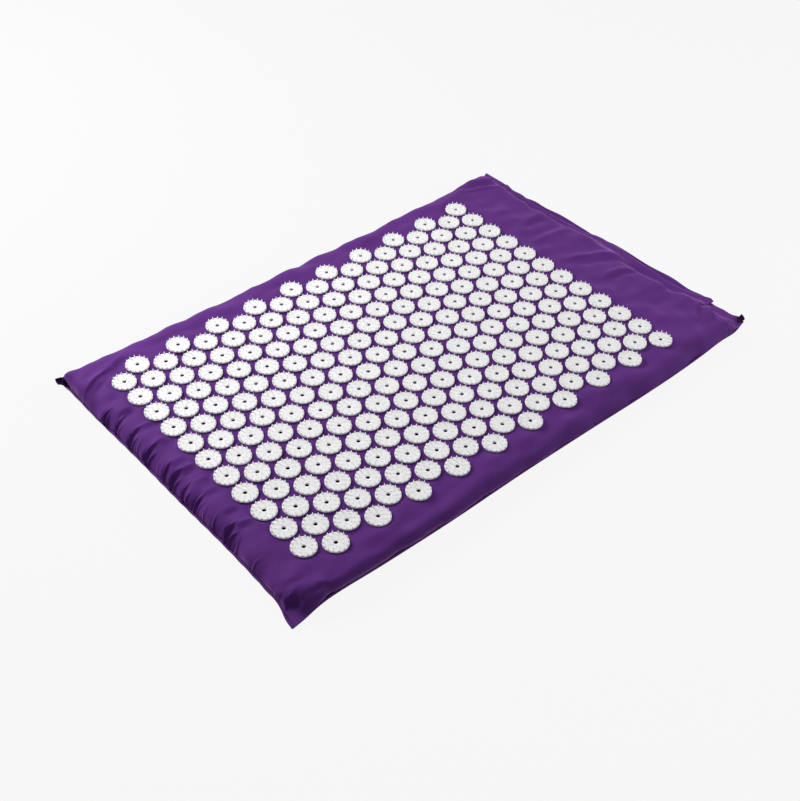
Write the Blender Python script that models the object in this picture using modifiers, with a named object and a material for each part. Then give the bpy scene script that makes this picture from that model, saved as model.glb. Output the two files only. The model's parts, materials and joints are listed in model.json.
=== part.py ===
"""Acupressure mat: a foam pad in a loose cloth cover, with columns of spike discs on its top face.

Lengths are in metres and +Z is up. X runs along the mat, from the gathered end to the open end, and Y
runs across it, from the near long side to the far one. The mat lies flat on z = 0, centred on the origin.
"""
import math

import bmesh
import bpy
from mathutils import Matrix, Vector

# Cloth, and the gap that separate pieces keep to each other
CLOTH = 0.0008
FIT_GAP = 0.0003

# Foam pad
FOAM_LENGTH = 0.594
FOAM_WIDTH = 0.386
FOAM_THICKNESS = 0.020
FOAM_EDGE_RADIUS = 0.009
FOAM_EDGE_SEGMENTS = 2

# How far the cover reaches past each corner of the foam: along X, then along Y
NEAR_LEFT_SLACK = (-0.032, -0.0115)
NEAR_RIGHT_SLACK = (0.037, -0.005)
FAR_LEFT_SLACK = (-0.0225, 0.0075)
FAR_RIGHT_SLACK = (0.028, 0.0155)
GATHERED_END_POWER = 3.0

# How far each flat corner ear pulls the cover's own corner outwards, and how far past the foam's edge
# that pull is felt along the sides
NEAR_LEFT_EAR = (-0.0075, -0.003)
NEAR_RIGHT_EAR = (0.0025, 0.0055)
FAR_LEFT_EAR = (-0.0055, 0.0125)
FAR_RIGHT_EAR = (0.001, 0.011)
EAR_REACH = 0.036

# Height of the bottom cloth's sewn edge above the floor, the stretch that it comes down over at the
# corners and at the open end, and the roll that lifts it
SIDE_SEAM_HEIGHT = 0.0070
END_SEAM_HEIGHT = 0.0050
CORNER_SEAM_FALL = 0.050
OPEN_END_SEAM_FALL = 0.070
BOTTOM_ROLL_SHARE = 0.8
ROLL_POWER = 2.6

# Gathers along the sewn end: small pleats, deepest a little way in from the seam
GATHER_PITCH = 0.0206
GATHER_DEPTH = 0.0050
GATHER_ENVELOPE_SHARES = (0.0, 0.45, 1.0, 0.5, 0.0)

# Grid lines of the cover across its rolled edges, as shares of the roll's width from the seam
END_ROLL_SHARES = (0.0, 0.10, 0.30, 0.60, 1.0)
SIDE_ROLL_SHARES = (0.0, 0.08, 0.28, 0.60, 1.0)
OPEN_END_SHARES = (0.0, 0.25, 0.50, 0.75, 1.0)
EAR_LINE_SHARE = 0.5
BOTTOM_CORNER_LINES = 3
BOTTOM_LINE_STEP = 5

# Rolled seam around the three sewn sides
SEAM_DIAMETER = 0.0012
SEAM_CORNER_SETBACK = 0.0020

# Closing lip of the open end. Its near end stands in from the flat top by some whole gathers.
HINGE_SETBACK = 0.0030
FLAP_START_GATHERS = 4
FLAP_ROOT_LENGTH = 0.0015
FLAP_SLOPE_LENGTH = 0.0165
FLAP_SLOPE_STEPS = 5
FLAP_EDGE_SETBACK = 0.0030
FLAP_SCALLOP_DEPTH = 0.0070
FLAP_GAPE = 0.0022
FLAP_LINE_SHARES = (0.0, 0.10, 0.18, 0.28, 0.38, 0.45, 0.55, 0.62, 0.72, 0.82, 0.90, 1.0)
FLAP_OPEN_SHARES = (0.0, 0.0, 0.7, 1.0, 0.7, 0.0, 0.0, 0.7, 1.0, 0.7, 0.0, 0.0)

# Hook and loop patches that hold the lip down
PATCH_LENGTH = 0.026
PATCH_WIDTH = 0.0070
PATCH_THICKNESS = 0.0008
PATCH_CENTRE_SHARES = (0.05, 0.50, 0.95)

# Spike discs, on a lattice of equilateral triangles
DISC_PITCH = 0.030
DISC_DIAMETER = 0.0264
DISC_THICKNESS = 0.0026
DISC_TIP_HEIGHT = 0.0024
DISC_FACETS = 10
HOLE_DIAMETER = 0.0038
HOLE_DEPTH = 0.0018
HOLE_FACETS = 5
BACKING_THICKNESS = 0.0006
FIELD_LEFT_MARGIN = 0.0157
FIELD_RIGHT_MARGIN = 0.0845
FIELD_NEAR_MARGIN = 0.0255
FIELD_FAR_MARGIN = 0.0300

# Finishes: colour, roughness, metallic
CLOTH_FINISH = ((0.120, 0.038, 0.205), 0.70, 0.0)
LINING_FINISH = ((0.060, 0.018, 0.105), 0.80, 0.0)
FOAM_FINISH = ((0.72, 0.70, 0.62), 0.95, 0.0)
DISC_FINISH = ((0.83, 0.83, 0.82), 0.35, 0.0)
PATCH_FINISH = ((0.050, 0.018, 0.085), 0.90, 0.0)

# Worked out from the sizes above
TOP_HEIGHT = 2 * CLOTH + FOAM_THICKNESS + 2 * FIT_GAP
SEAM_RISE = 2 * CLOTH + FIT_GAP
FOAM_LEFT = -FOAM_LENGTH / 2
FOAM_RIGHT = FOAM_LENGTH / 2
FOAM_NEAR = -FOAM_WIDTH / 2
FOAM_FAR = FOAM_WIDTH / 2
FLAT_NEAR = FOAM_NEAR + FOAM_EDGE_RADIUS
FLAT_FAR = FOAM_FAR - FOAM_EDGE_RADIUS
COVER_LEFT = FOAM_LEFT + min(NEAR_LEFT_SLACK[0], FAR_LEFT_SLACK[0])
COVER_RIGHT = FOAM_RIGHT + max(NEAR_RIGHT_SLACK[0], FAR_RIGHT_SLACK[0])
COVER_NEAR = FOAM_NEAR + min(NEAR_LEFT_SLACK[1], NEAR_RIGHT_SLACK[1])
COVER_FAR = FOAM_FAR + max(FAR_LEFT_SLACK[1], FAR_RIGHT_SLACK[1])
HINGE_X = FOAM_RIGHT + HINGE_SETBACK
GATHER_CELLS = 2 * round((FLAT_FAR - FLAT_NEAR) / GATHER_PITCH)
GATHER_STEP = (FLAT_FAR - FLAT_NEAR) / GATHER_CELLS
FLAP_NEAR = FLAT_NEAR + FLAP_START_GATHERS * GATHER_STEP
FLAP_FAR = FLAT_FAR
FLAP_TOP = 2 * CLOTH + 2 * PATCH_THICKNESS + 3 * FIT_GAP
COLUMN_SPACING = DISC_PITCH * math.sqrt(3) / 2
FIELD_LENGTH = FOAM_LENGTH - FIELD_LEFT_MARGIN - FIELD_RIGHT_MARGIN
FIELD_WIDTH = FOAM_WIDTH - FIELD_NEAR_MARGIN - FIELD_FAR_MARGIN


def mix(start, end, share):
    """Return the value at a share of the way from start to end."""
    return start + (end - start) * share


def clamp(value):
    """Return the value held between 0 and 1."""
    return min(1.0, max(0.0, value))


def rounded(share):
    """Rise from 0 at an edge to 1 at the end of its roll, steep first and flat at the end."""
    return (1.0 - (1.0 - clamp(share)) ** ROLL_POWER) ** (1.0 / ROLL_POWER)


def smooth(share):
    """Ease from 0 to 1 with no slope at either end."""
    held = clamp(share)
    return held * held * (3.0 - 2.0 * held)


def ear_pull(inset, slack):
    """Return an ear's share of its pull at an inset from the foam's edge: 1 at the cover's corner."""
    overhang = abs(slack)
    return (1.0 - clamp((inset + overhang) / (EAR_REACH + overhang))) ** 2


def left_edge(y):
    """Return the cover's left edge at a nominal Y: nearly straight, and further out at the near corner."""
    share = 1.0 - (1.0 - clamp((y - FOAM_NEAR) / FOAM_WIDTH)) ** GATHERED_END_POWER
    body = FOAM_LEFT + mix(NEAR_LEFT_SLACK[0], FAR_LEFT_SLACK[0], share)
    near_ear = NEAR_LEFT_EAR[0] * ear_pull(y - FOAM_NEAR, NEAR_LEFT_SLACK[1])
    far_ear = FAR_LEFT_EAR[0] * ear_pull(FOAM_FAR - y, FAR_LEFT_SLACK[1])
    return body + near_ear + far_ear


def right_edge(y):
    """Return the cover's right edge at a nominal Y."""
    share = clamp((y - FOAM_NEAR) / FOAM_WIDTH)
    body = FOAM_RIGHT + mix(NEAR_RIGHT_SLACK[0], FAR_RIGHT_SLACK[0], share)
    near_ear = NEAR_RIGHT_EAR[0] * ear_pull(y - FOAM_NEAR, NEAR_RIGHT_SLACK[1])
    far_ear = FAR_RIGHT_EAR[0] * ear_pull(FOAM_FAR - y, FAR_RIGHT_SLACK[1])
    return body + near_ear + far_ear


def near_edge(x):
    """Return the cover's near edge at a nominal X."""
    share = clamp((x - FOAM_LEFT) / FOAM_LENGTH)
    body = FOAM_NEAR + mix(NEAR_LEFT_SLACK[1], NEAR_RIGHT_SLACK[1], share)
    left_ear = NEAR_LEFT_EAR[1] * ear_pull(x - FOAM_LEFT, NEAR_LEFT_SLACK[0])
    right_ear = NEAR_RIGHT_EAR[1] * ear_pull(FOAM_RIGHT - x, NEAR_RIGHT_SLACK[0])
    return body + left_ear + right_ear


def far_edge(x):
    """Return the cover's far edge at a nominal X."""
    share = clamp((x - FOAM_LEFT) / FOAM_LENGTH)
    body = FOAM_FAR + mix(FAR_LEFT_SLACK[1], FAR_RIGHT_SLACK[1], share)
    left_ear = FAR_LEFT_EAR[1] * ear_pull(x - FOAM_LEFT, FAR_LEFT_SLACK[0])
    right_ear = FAR_RIGHT_EAR[1] * ear_pull(FOAM_RIGHT - x, FAR_RIGHT_SLACK[0])
    return body + left_ear + right_ear


class Line:
    """One grid line of the cover across one direction: its kind of zone and its place in it."""

    def __init__(self, zone, share, nominal, gather=0):
        self.zone = zone
        self.share = share
        self.nominal = nominal
        self.gather = gather


def lines_along():
    """Return the cover's grid lines along X, from the gathered end to the open end."""
    ear_line = EAR_LINE_SHARE * EAR_REACH
    lines = [Line("left", share, mix(COVER_LEFT, FOAM_LEFT, share)) for share in END_ROLL_SHARES]
    lines.append(Line("flat", 1.0, FOAM_LEFT + ear_line))
    lines.append(Line("flat", 1.0, FOAM_LEFT + EAR_REACH))
    lines.append(Line("flat", 1.0, FOAM_RIGHT - EAR_REACH))
    lines.append(Line("flat", 1.0, FOAM_RIGHT - ear_line))
    lines += [Line("right", 1.0 - share, mix(FOAM_RIGHT, COVER_RIGHT, share)) for share in OPEN_END_SHARES]
    return lines


def lines_across():
    """Return the cover's grid lines along Y, from the near side to the far side."""
    rolls = SIDE_ROLL_SHARES[:-1]
    lines = [Line("near", share, mix(COVER_NEAR, FLAT_NEAR, share)) for share in rolls]
    for step in range(GATHER_CELLS + 1):
        lines.append(Line("flat", 1.0, FLAT_NEAR + step * GATHER_STEP, 1 if step % 2 else -1))
    lines += [Line("far", share, mix(COVER_FAR, FLAT_FAR, share)) for share in reversed(rolls)]
    return lines


def few_lines_across():
    """Return the lines of the bottom cloth and the end seam: all at the corners, and some between them."""
    lines = lines_across()
    corner = len(SIDE_ROLL_SHARES) - 1 + BOTTOM_CORNER_LINES
    return lines[:corner] + lines[corner:-corner:BOTTOM_LINE_STEP] + lines[-corner:]


def cover_xy(along, across):
    """Return the plan position where two of the cover's grid lines cross."""
    x = along.nominal
    y = across.nominal
    if along.zone == "left":
        x = mix(left_edge(across.nominal), FOAM_LEFT, along.share)
    elif along.zone == "right":
        x = mix(right_edge(across.nominal), HINGE_X - FIT_GAP / 2, along.share)
    if across.zone == "near":
        y = mix(near_edge(along.nominal), FLAT_NEAR, across.share)
    elif across.zone == "far":
        y = mix(far_edge(along.nominal), FLAT_FAR, across.share)
    return x, y


def seam_height(along, across):
    """Return the height of the bottom cloth's edge by a crossing: raised at the sides, flat at the ears."""
    x, y = cover_xy(along, across)
    from_left = smooth((x - left_edge(across.nominal)) / CORNER_SEAM_FALL)
    from_right = smooth((right_edge(across.nominal) - x) / OPEN_END_SEAM_FALL)
    from_near = smooth((y - near_edge(along.nominal)) / CORNER_SEAM_FALL)
    from_far = smooth((far_edge(along.nominal) - y) / CORNER_SEAM_FALL)
    side = SIDE_SEAM_HEIGHT * from_left * from_right
    end = END_SEAM_HEIGHT * from_near * from_far * from_right
    return max(side, end)


def top_height(along, across):
    """Return the height of the top cloth's outer face at a crossing."""
    foot = seam_height(along, across) + SEAM_RISE
    end_rise = smooth(along.share) if along.zone == "right" else rounded(along.share)
    height = mix(foot, TOP_HEIGHT, end_rise * rounded(across.share))
    if along.zone == "left":
        depth = GATHER_ENVELOPE_SHARES[END_ROLL_SHARES.index(along.share)] * GATHER_DEPTH / 2
        height += across.gather * depth
    return height


def bottom_height(along, across):
    """Return the height of the bottom cloth's outer face at a crossing."""
    lift_along = 1.0 - rounded(along.share / BOTTOM_ROLL_SHARE)
    lift_across = 1.0 - rounded(across.share / BOTTOM_ROLL_SHARE)
    return seam_height(along, across) * max(lift_along, lift_across)


def finish(name, values):
    """Return a Principled material made from a colour, a roughness and a metallic value."""
    colour, roughness, metallic = values
    material = bpy.data.materials.new(name)
    material.use_nodes = True
    shader = material.node_tree.nodes["Principled BSDF"]
    shader.inputs["Base Color"].default_value = (*colour, 1.0)
    shader.inputs["Roughness"].default_value = roughness
    shader.inputs["Metallic"].default_value = metallic
    return material


def add_object(name, data, material, collection, parent):
    """Link data as a named object with a material, carried by a parent."""
    data.materials.append(material)
    piece = bpy.data.objects.new(name, data)
    collection.objects.link(piece)
    piece.parent = parent
    return piece


def mesh_from(name, bm):
    """Turn a bmesh into a mesh and free it."""
    data = bpy.data.meshes.new(name)
    bm.to_mesh(data)
    bm.free()
    return data


def sheet_mesh(name, columns, rows, place, keep=None):
    """Build a grid whose vertices are moved to place(column, row), without the cells that keep refuses."""
    bm = bmesh.new()
    bmesh.ops.create_grid(bm, x_segments=columns - 1, y_segments=rows - 1, size=1.0)

    def cell_of(point):
        return (point.x + 1.0) / 2.0 * (columns - 1), (point.y + 1.0) / 2.0 * (rows - 1)

    if keep is not None:
        refused = [face for face in bm.faces if not keep(*cell_of(face.calc_center_median()))]
        bmesh.ops.delete(bm, geom=refused, context="FACES")
    for vertex in bm.verts:
        column, row = cell_of(vertex.co)
        vertex.co = place(round(column), round(row))
    data = mesh_from(name, bm)
    data.shade_smooth()
    return data


def thicken(piece, thickness, offset):
    """Give a sheet its cloth thickness, to the inner side of its outer face."""
    solid = piece.modifiers.new("cloth", "SOLIDIFY")
    solid.thickness = thickness
    solid.offset = offset


def build_cover_top(material, collection, parent):
    """Make the top cloth: flat over the foam, rolled down its sides, gathered at the sewn end."""
    along, across = lines_along(), lines_across()
    hinge_column = len(along) - len(OPEN_END_SHARES)
    first_row = len(SIDE_ROLL_SHARES) - 1 + FLAP_START_GATHERS
    last_row = len(SIDE_ROLL_SHARES) - 1 + GATHER_CELLS
    ends = {first_row: -FIT_GAP / 2, last_row: FIT_GAP / 2}

    def place(column, row):
        x, y = cover_xy(along[column], across[row])
        if column >= hinge_column:
            y += ends.get(row, 0.0)
        return x, y, top_height(along[column], across[row])

    def keep(column, row):
        return column < hinge_column or not first_row < row < last_row

    data = sheet_mesh("cover_top", len(along), len(across), place, keep)
    thicken(add_object("cover_top", data, material, collection, parent), CLOTH, -1.0)


def build_cover_bottom(material, collection, parent):
    """Make the bottom cloth: flat on the floor and lifted to the seams along its sewn edges."""
    along, across = lines_along(), few_lines_across()

    def place(column, row):
        x, y = cover_xy(along[column], across[row])
        return x, y, bottom_height(along[column], across[row])

    data = sheet_mesh("cover_bottom", len(along), len(across), place)
    thicken(add_object("cover_bottom", data, material, collection, parent), CLOTH, 1.0)


def build_foam(material, collection, parent):
    """Make the foam pad that lies between the two cloths."""
    bm = bmesh.new()
    size = Matrix.Diagonal((FOAM_LENGTH, FOAM_WIDTH, FOAM_THICKNESS, 1.0))
    bmesh.ops.create_cube(bm, size=1.0, matrix=size)
    piece = add_object("foam_core", mesh_from("foam_core", bm), material, collection, parent)
    piece.location.z = CLOTH + FIT_GAP + FOAM_THICKNESS / 2
    bevel = piece.modifiers.new("edges", "BEVEL")
    bevel.width = FOAM_EDGE_RADIUS
    bevel.segments = FOAM_EDGE_SEGMENTS


def seam_point(along, across, outward):
    """Return a point of the rolled seam, just outside the two cloths' edges at a crossing."""
    x, y = cover_xy(along, across)
    offset = SEAM_DIAMETER / 2 + 2 * FIT_GAP
    height = seam_height(along, across) + SEAM_RISE / 2
    return Vector((x + outward[0] * offset, y + outward[1] * offset, height))


def build_seam(name, points, material, collection, parent):
    """Make one rolled seam as a thin cord along its points."""
    curve = bpy.data.curves.new(name, "CURVE")
    curve.dimensions = "3D"
    curve.bevel_depth = SEAM_DIAMETER / 2
    curve.bevel_resolution = 0
    curve.use_fill_caps = True
    spline = curve.splines.new("POLY")
    spline.points.add(len(points) - 1)
    for target, point in zip(spline.points, points):
        target.co = (*point, 1.0)
    add_object(name, curve, material, collection, parent)


def pulled_back(points):
    """Shorten a seam at both of its ends, so that it stays clear of the next one at the corner."""
    first, last = points[0], points[-1]
    points[0] = first + (points[1] - first).normalized() * SEAM_CORNER_SETBACK
    points[-1] = last + (points[-2] - last).normalized() * SEAM_CORNER_SETBACK
    return points


def build_seams(material, collection, parent):
    """Make the seams of the gathered end and of the two long sides."""
    along, across = lines_along(), few_lines_across()
    end = [seam_point(along[0], line, (-1, 0)) for line in across]
    near = [seam_point(line, across[0], (0, -1)) for line in along]
    far = [seam_point(line, across[-1], (0, 1)) for line in along]
    build_seam("end_seam", pulled_back(end), material, collection, parent)
    build_seam("near_side_seam", pulled_back(near), material, collection, parent)
    build_seam("far_side_seam", pulled_back(far), material, collection, parent)


def flap_profile():
    """Return the lip's steps from its fold: distance, share down its slope and share out to its edge."""
    steps = [(FIT_GAP / 2, 0.0, 0.0)]
    for step in range(FLAP_SLOPE_STEPS + 1):
        down = step / FLAP_SLOPE_STEPS
        steps.append((mix(FLAP_ROOT_LENGTH, FLAP_SLOPE_LENGTH, down), down, 0.0))
    return steps + [(FLAP_SLOPE_LENGTH, 1.0, 0.5), (FLAP_SLOPE_LENGTH, 1.0, 1.0)]


def build_flap(material, collection, hinge):
    """Make the closing lip, which slopes down from the foam's end and lies flat over the bottom cloth."""
    profile = flap_profile()

    def place(column, row):
        distance, down, out = profile[column]
        y = mix(FLAP_NEAR + FIT_GAP / 2, FLAP_FAR - FIT_GAP / 2, FLAP_LINE_SHARES[row])
        gape = FLAP_OPEN_SHARES[row]
        edge = right_edge(y) - HINGE_X - FLAP_EDGE_SETBACK - gape * FLAP_SCALLOP_DEPTH
        x = distance + (edge - FLAP_SLOPE_LENGTH) * out
        z = (FLAP_TOP - TOP_HEIGHT) * smooth(down) + gape * FLAP_GAPE * out
        return x, y, z

    data = sheet_mesh("closure_flap", len(profile), len(FLAP_LINE_SHARES), place)
    thicken(add_object("closure_flap", data, material, collection, hinge), CLOTH, -1.0)


def build_patches(material, collection, root, hinge):
    """Make the hook patches under the lip and the loop patches on the bottom cloth below them."""
    loop_z = CLOTH + FIT_GAP + PATCH_THICKNESS / 2
    hook_z = loop_z + PATCH_THICKNESS + FIT_GAP
    for number, share in enumerate(PATCH_CENTRE_SHARES, start=1):
        y = mix(FLAP_NEAR, FLAP_FAR, share)
        flat_start = HINGE_X + FLAP_SLOPE_LENGTH
        x = (flat_start + right_edge(y) - FLAP_EDGE_SETBACK) / 2
        bm = bmesh.new()
        size = Matrix.Diagonal((PATCH_WIDTH, PATCH_LENGTH, PATCH_THICKNESS, 1.0))
        bmesh.ops.create_cube(bm, size=1.0, matrix=size)
        data = mesh_from("patch", bm)
        loop = add_object(f"loop_patch_{number}", data, material, collection, root)
        loop.location = (x, y, loop_z)
        hook = add_object(f"hook_patch_{number}", data.copy(), material, collection, hinge)
        hook.location = (x - HINGE_X, y, hook_z - TOP_HEIGHT)


def add_disc(bm, x, y, base):
    """Add one spike disc: every second corner of its rim is a raised tip, and a pit stands for its hole."""
    turn = Matrix.Rotation(math.pi / DISC_FACETS, 4, "Z")
    place = Matrix.Translation((x, y, base + DISC_THICKNESS / 2)) @ turn
    made = bmesh.ops.create_cone(bm, cap_ends=True, segments=DISC_FACETS, radius1=DISC_DIAMETER / 2,
                                 radius2=DISC_DIAMETER / 2, depth=DISC_THICKNESS, matrix=place)
    middle = base + DISC_THICKNESS / 2
    rim = [vertex for vertex in made["verts"] if vertex.co.z > middle]
    rim.sort(key=lambda vertex: math.atan2(vertex.co.y - y, vertex.co.x - x))
    for vertex in rim[::2]:
        vertex.co.z += DISC_TIP_HEIGHT
    rim_set = set(rim)
    cap = next(face for face in rim[0].link_faces if rim_set.issuperset(face.verts))
    rim_edges = list(cap.edges)
    bmesh.ops.delete(bm, geom=[cap], context="FACES_ONLY")
    lip = Matrix.Translation((x, y, base + DISC_THICKNESS))
    ring = bmesh.ops.create_circle(bm, cap_ends=True, segments=HOLE_FACETS, radius=HOLE_DIAMETER / 2,
                                   matrix=lip)
    hole = ring["verts"][0].link_faces[0]
    hole_edges = list(hole.edges)
    floor = bmesh.ops.poke(bm, faces=[hole])
    floor["verts"][0].co.z -= HOLE_DEPTH
    bmesh.ops.bridge_loops(bm, edges=rim_edges + hole_edges)
    return [vertex for vertex in made["verts"] if vertex.is_valid]


def open_foot(bm, vertices, side):
    """Cut away the foot of a disc's facet that faces along Y, and return the edges of the opening."""
    reach = max(vertex.co.y * side for vertex in vertices)
    near = [vertex for vertex in vertices if abs(vertex.co.y * side - reach) < FIT_GAP]
    facet = next(face for face in near[0].link_faces if set(near).issuperset(face.verts))
    foot_height = min(vertex.co.z for vertex in near)
    bottoms = [vertex for vertex in near if vertex.co.z < foot_height + FIT_GAP]
    cuts = []
    for bottom in bottoms:
        upright = next(edge for edge in bottom.link_edges if edge.other_vert(bottom) in near
                       and edge.other_vert(bottom) not in bottoms)
        cuts.append(bmesh.utils.edge_split(upright, bottom, BACKING_THICKNESS / upright.calc_length())[1])
    bmesh.utils.face_split(facet, cuts[0], cuts[1])
    foot = next(face for face in bottoms[0].link_faces if set(face.verts) == set(bottoms + cuts))
    edges = list(foot.edges)
    bmesh.ops.delete(bm, geom=[foot], context="FACES_ONLY")
    return edges


def build_disc_column(number, x, count, material, collection, parent):
    """Make one column of discs, joined by the thin slice of backing between them."""
    bm = bmesh.new()
    base = TOP_HEIGHT + FIT_GAP
    first = field_middle() - (count - 1) * DISC_PITCH / 2
    previous = None
    for step in range(count):
        disc = add_disc(bm, x, first + step * DISC_PITCH, base)
        if previous is not None:
            edges = open_foot(bm, previous, 1) + open_foot(bm, disc, -1)
            bmesh.ops.bridge_loops(bm, edges=edges)
        previous = disc
    bmesh.ops.recalc_face_normals(bm, faces=bm.faces)
    name = f"disc_column_{number:02d}"
    add_object(name, mesh_from(name, bm), material, collection, parent)


def field_middle():
    """Return the Y of the middle of the disc field."""
    return (FOAM_NEAR + FIELD_NEAR_MARGIN + FOAM_FAR - FIELD_FAR_MARGIN) / 2


def build_disc_field(material, collection, parent):
    """Make the columns of discs, as many as the field holds, with every second one a disc longer."""
    columns = 1 + math.floor(FIELD_LENGTH / COLUMN_SPACING)
    longest = 1 + math.floor(FIELD_WIDTH / DISC_PITCH)
    for index in range(columns):
        x = FOAM_LEFT + FIELD_LEFT_MARGIN + index * COLUMN_SPACING
        count = longest if index % 2 else longest - 1
        build_disc_column(index + 1, x, count, material, collection, parent)


def centre_on_floor(root, collection):
    """Move the root empty so that the mat is centred on the origin and lies on z = 0."""
    bpy.context.view_layer.update()
    graph = bpy.context.evaluated_depsgraph_get()
    corners = []
    for piece in collection.objects:
        if piece.type != "EMPTY":
            evaluated = piece.evaluated_get(graph)
            corners += [piece.matrix_world @ vertex.co for vertex in evaluated.to_mesh().vertices]
            evaluated.to_mesh_clear()
    lows = [min(corner[axis] for corner in corners) for axis in range(3)]
    highs = [max(corner[axis] for corner in corners) for axis in range(3)]
    root.location = (-(lows[0] + highs[0]) / 2, -(lows[1] + highs[1]) / 2, -lows[2])
    bpy.context.view_layer.update()


def add_empty(name, location, collection, parent=None):
    """Add an empty that carries other objects."""
    empty = bpy.data.objects.new(name, None)
    collection.objects.link(empty)
    empty.location = location
    empty.parent = parent
    return empty


def main():
    """Build the mat in a collection of its own."""
    for old in list(bpy.data.objects):
        bpy.data.objects.remove(old, do_unlink=True)
    collection = bpy.data.collections.new("acupressure_mat")
    bpy.context.scene.collection.children.link(collection)
    root = add_empty("mat_root", (0, 0, 0), collection)
    hinge = add_empty("closure_flap_hinge", (HINGE_X, 0, TOP_HEIGHT), collection, root)
    cloth = finish("cover_cloth", CLOTH_FINISH)
    lining = finish("cover_lining", LINING_FINISH)
    build_cover_top(cloth, collection, root)
    build_cover_bottom(lining, collection, root)
    build_foam(finish("foam", FOAM_FINISH), collection, root)
    build_seams(lining, collection, root)
    build_flap(cloth, collection, hinge)
    build_patches(finish("hook_and_loop", PATCH_FINISH), collection, root, hinge)
    build_disc_field(finish("disc_plastic", DISC_FINISH), collection, root)
    centre_on_floor(root, collection)
    print("hinge axis passes through", tuple(round(value, 6) for value in hinge.matrix_world.translation))


main()
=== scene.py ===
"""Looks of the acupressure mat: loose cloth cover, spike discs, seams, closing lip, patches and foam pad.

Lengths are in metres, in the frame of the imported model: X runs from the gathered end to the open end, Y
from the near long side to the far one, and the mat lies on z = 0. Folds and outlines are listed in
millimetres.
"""
from __future__ import annotations

import json
import logging
import math
from collections.abc import Callable, Sequence
from dataclasses import dataclass, field
from enum import Enum

import bmesh
import bpy
import numpy as np
from mathutils import Matrix, Vector


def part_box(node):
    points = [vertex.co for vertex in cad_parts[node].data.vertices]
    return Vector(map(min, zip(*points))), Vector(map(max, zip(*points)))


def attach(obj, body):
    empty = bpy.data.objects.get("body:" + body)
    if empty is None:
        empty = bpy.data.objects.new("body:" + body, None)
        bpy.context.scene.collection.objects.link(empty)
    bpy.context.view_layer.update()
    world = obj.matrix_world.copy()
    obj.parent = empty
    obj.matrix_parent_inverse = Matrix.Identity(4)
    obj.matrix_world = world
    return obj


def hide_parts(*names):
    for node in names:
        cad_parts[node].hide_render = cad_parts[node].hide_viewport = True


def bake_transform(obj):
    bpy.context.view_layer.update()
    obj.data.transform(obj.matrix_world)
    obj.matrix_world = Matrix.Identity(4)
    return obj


LOG = logging.getLogger("acupressure_mat")
MM = 0.001
MAT_BODY = "mat"
LIP_BODY = "closure_lip"
CUT_MAP = "cut"
MERGE_DISTANCE = 1e-6
LEAST_NORMAL = 1e-12  # keeps a normal's division safe where a cell has no area
ROUND_POWER = 2.0  # the power at which a roll is a quarter circle
WARP_SCALE = 90.0
WARP_DETAIL = 1.0
MOTTLE_DETAIL = 4.0
GRAIN_DETAIL = 3.0
WHITE = (1.0, 1.0, 1.0, 1.0)

Array = np.ndarray
Colour = tuple[float, float, float]
Place = tuple[float, float, float]
Points = tuple[tuple[float, float], ...]
Cells = list[list[tuple[int, int]]]

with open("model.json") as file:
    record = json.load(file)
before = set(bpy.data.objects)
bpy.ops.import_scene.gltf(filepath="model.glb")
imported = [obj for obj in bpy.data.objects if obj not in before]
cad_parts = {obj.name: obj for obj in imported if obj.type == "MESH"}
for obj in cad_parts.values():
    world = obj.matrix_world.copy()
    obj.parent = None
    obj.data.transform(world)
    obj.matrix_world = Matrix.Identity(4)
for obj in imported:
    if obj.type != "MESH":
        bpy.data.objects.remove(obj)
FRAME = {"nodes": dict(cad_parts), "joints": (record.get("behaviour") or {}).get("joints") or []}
DISC_NODES = sorted(name for name in FRAME["nodes"] if name.startswith("disc_column_"))


class FoldKind(Enum):
    """Whether a fold stands up from the cloth or sinks into it."""

    RIDGE = 1.0
    VALLEY = -1.0


class Slot(Enum):
    """The record's material slots."""

    CLOTH = "cover_cloth"
    LINING = "cover_lining"
    FOAM = "foam"
    TAPE = "hook_and_loop"
    PLASTIC = "disc_plastic"


def clamp(value: Array | float) -> Array | float:
    """Hold values between 0 and 1."""
    return np.clip(value, 0.0, 1.0)


def smooth(share: Array | float) -> Array | float:
    """Ease from 0 to 1 with no slope at either end."""
    held = clamp(share)
    return held * held * (3.0 - 2.0 * held)


def mix(start: Array | float, end: Array | float, share: Array | float) -> Array | float:
    """Return the value at a share of the way from start to end."""
    return start + (end - start) * share


def rolled(share: Array | float, power: Array | float) -> Array | float:
    """Rise from 0 at an edge to 1 at the end of its roll, steep first and flat at the end."""
    return (1.0 - (1.0 - clamp(share)) ** power) ** (1.0 / power)


def roll_lines(count: int, power: float) -> Array:
    """Return shares of a roll's width, closest together where the cloth stands steep."""
    return 1.0 - np.cos(np.linspace(0.0, math.pi / 2.0, count)) ** (2.0 / power)


def cubic(places: Array, values: Array, at: Array) -> Array:
    """Read a smooth curve through values at rising places, held at its ends.

    Args:
        places: The rising places.
        values: The value at each of them.
        at: Places to read.

    Returns:
        The values there.
    """
    slopes = np.gradient(values, places)
    held = np.clip(at, places[0], places[-1])
    cell = np.clip(np.searchsorted(places, held) - 1, 0, len(places) - 2)
    width = places[cell + 1] - places[cell]
    t = (held - places[cell]) / width
    rise = (2 * t**3 - 3 * t**2 + 1) * values[cell] + (3 * t**2 - 2 * t**3) * values[cell + 1]
    return rise + width * ((t**3 - 2 * t**2 + t) * slopes[cell] + (t**3 - t**2) * slopes[cell + 1])


def curve_through(points: Points, at: Array | float, unit: float = MM) -> Array:
    """Read a smooth curve through a few points.

    Args:
        points: Pairs of place and value, with the places rising, in millimetres.
        at: Places to read, in metres.
        unit: What one unit of a value is worth.

    Returns:
        The values there.
    """
    table = np.array(points)
    return cubic(table[:, 0] * MM, table[:, 1] * unit, np.asarray(at))


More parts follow.
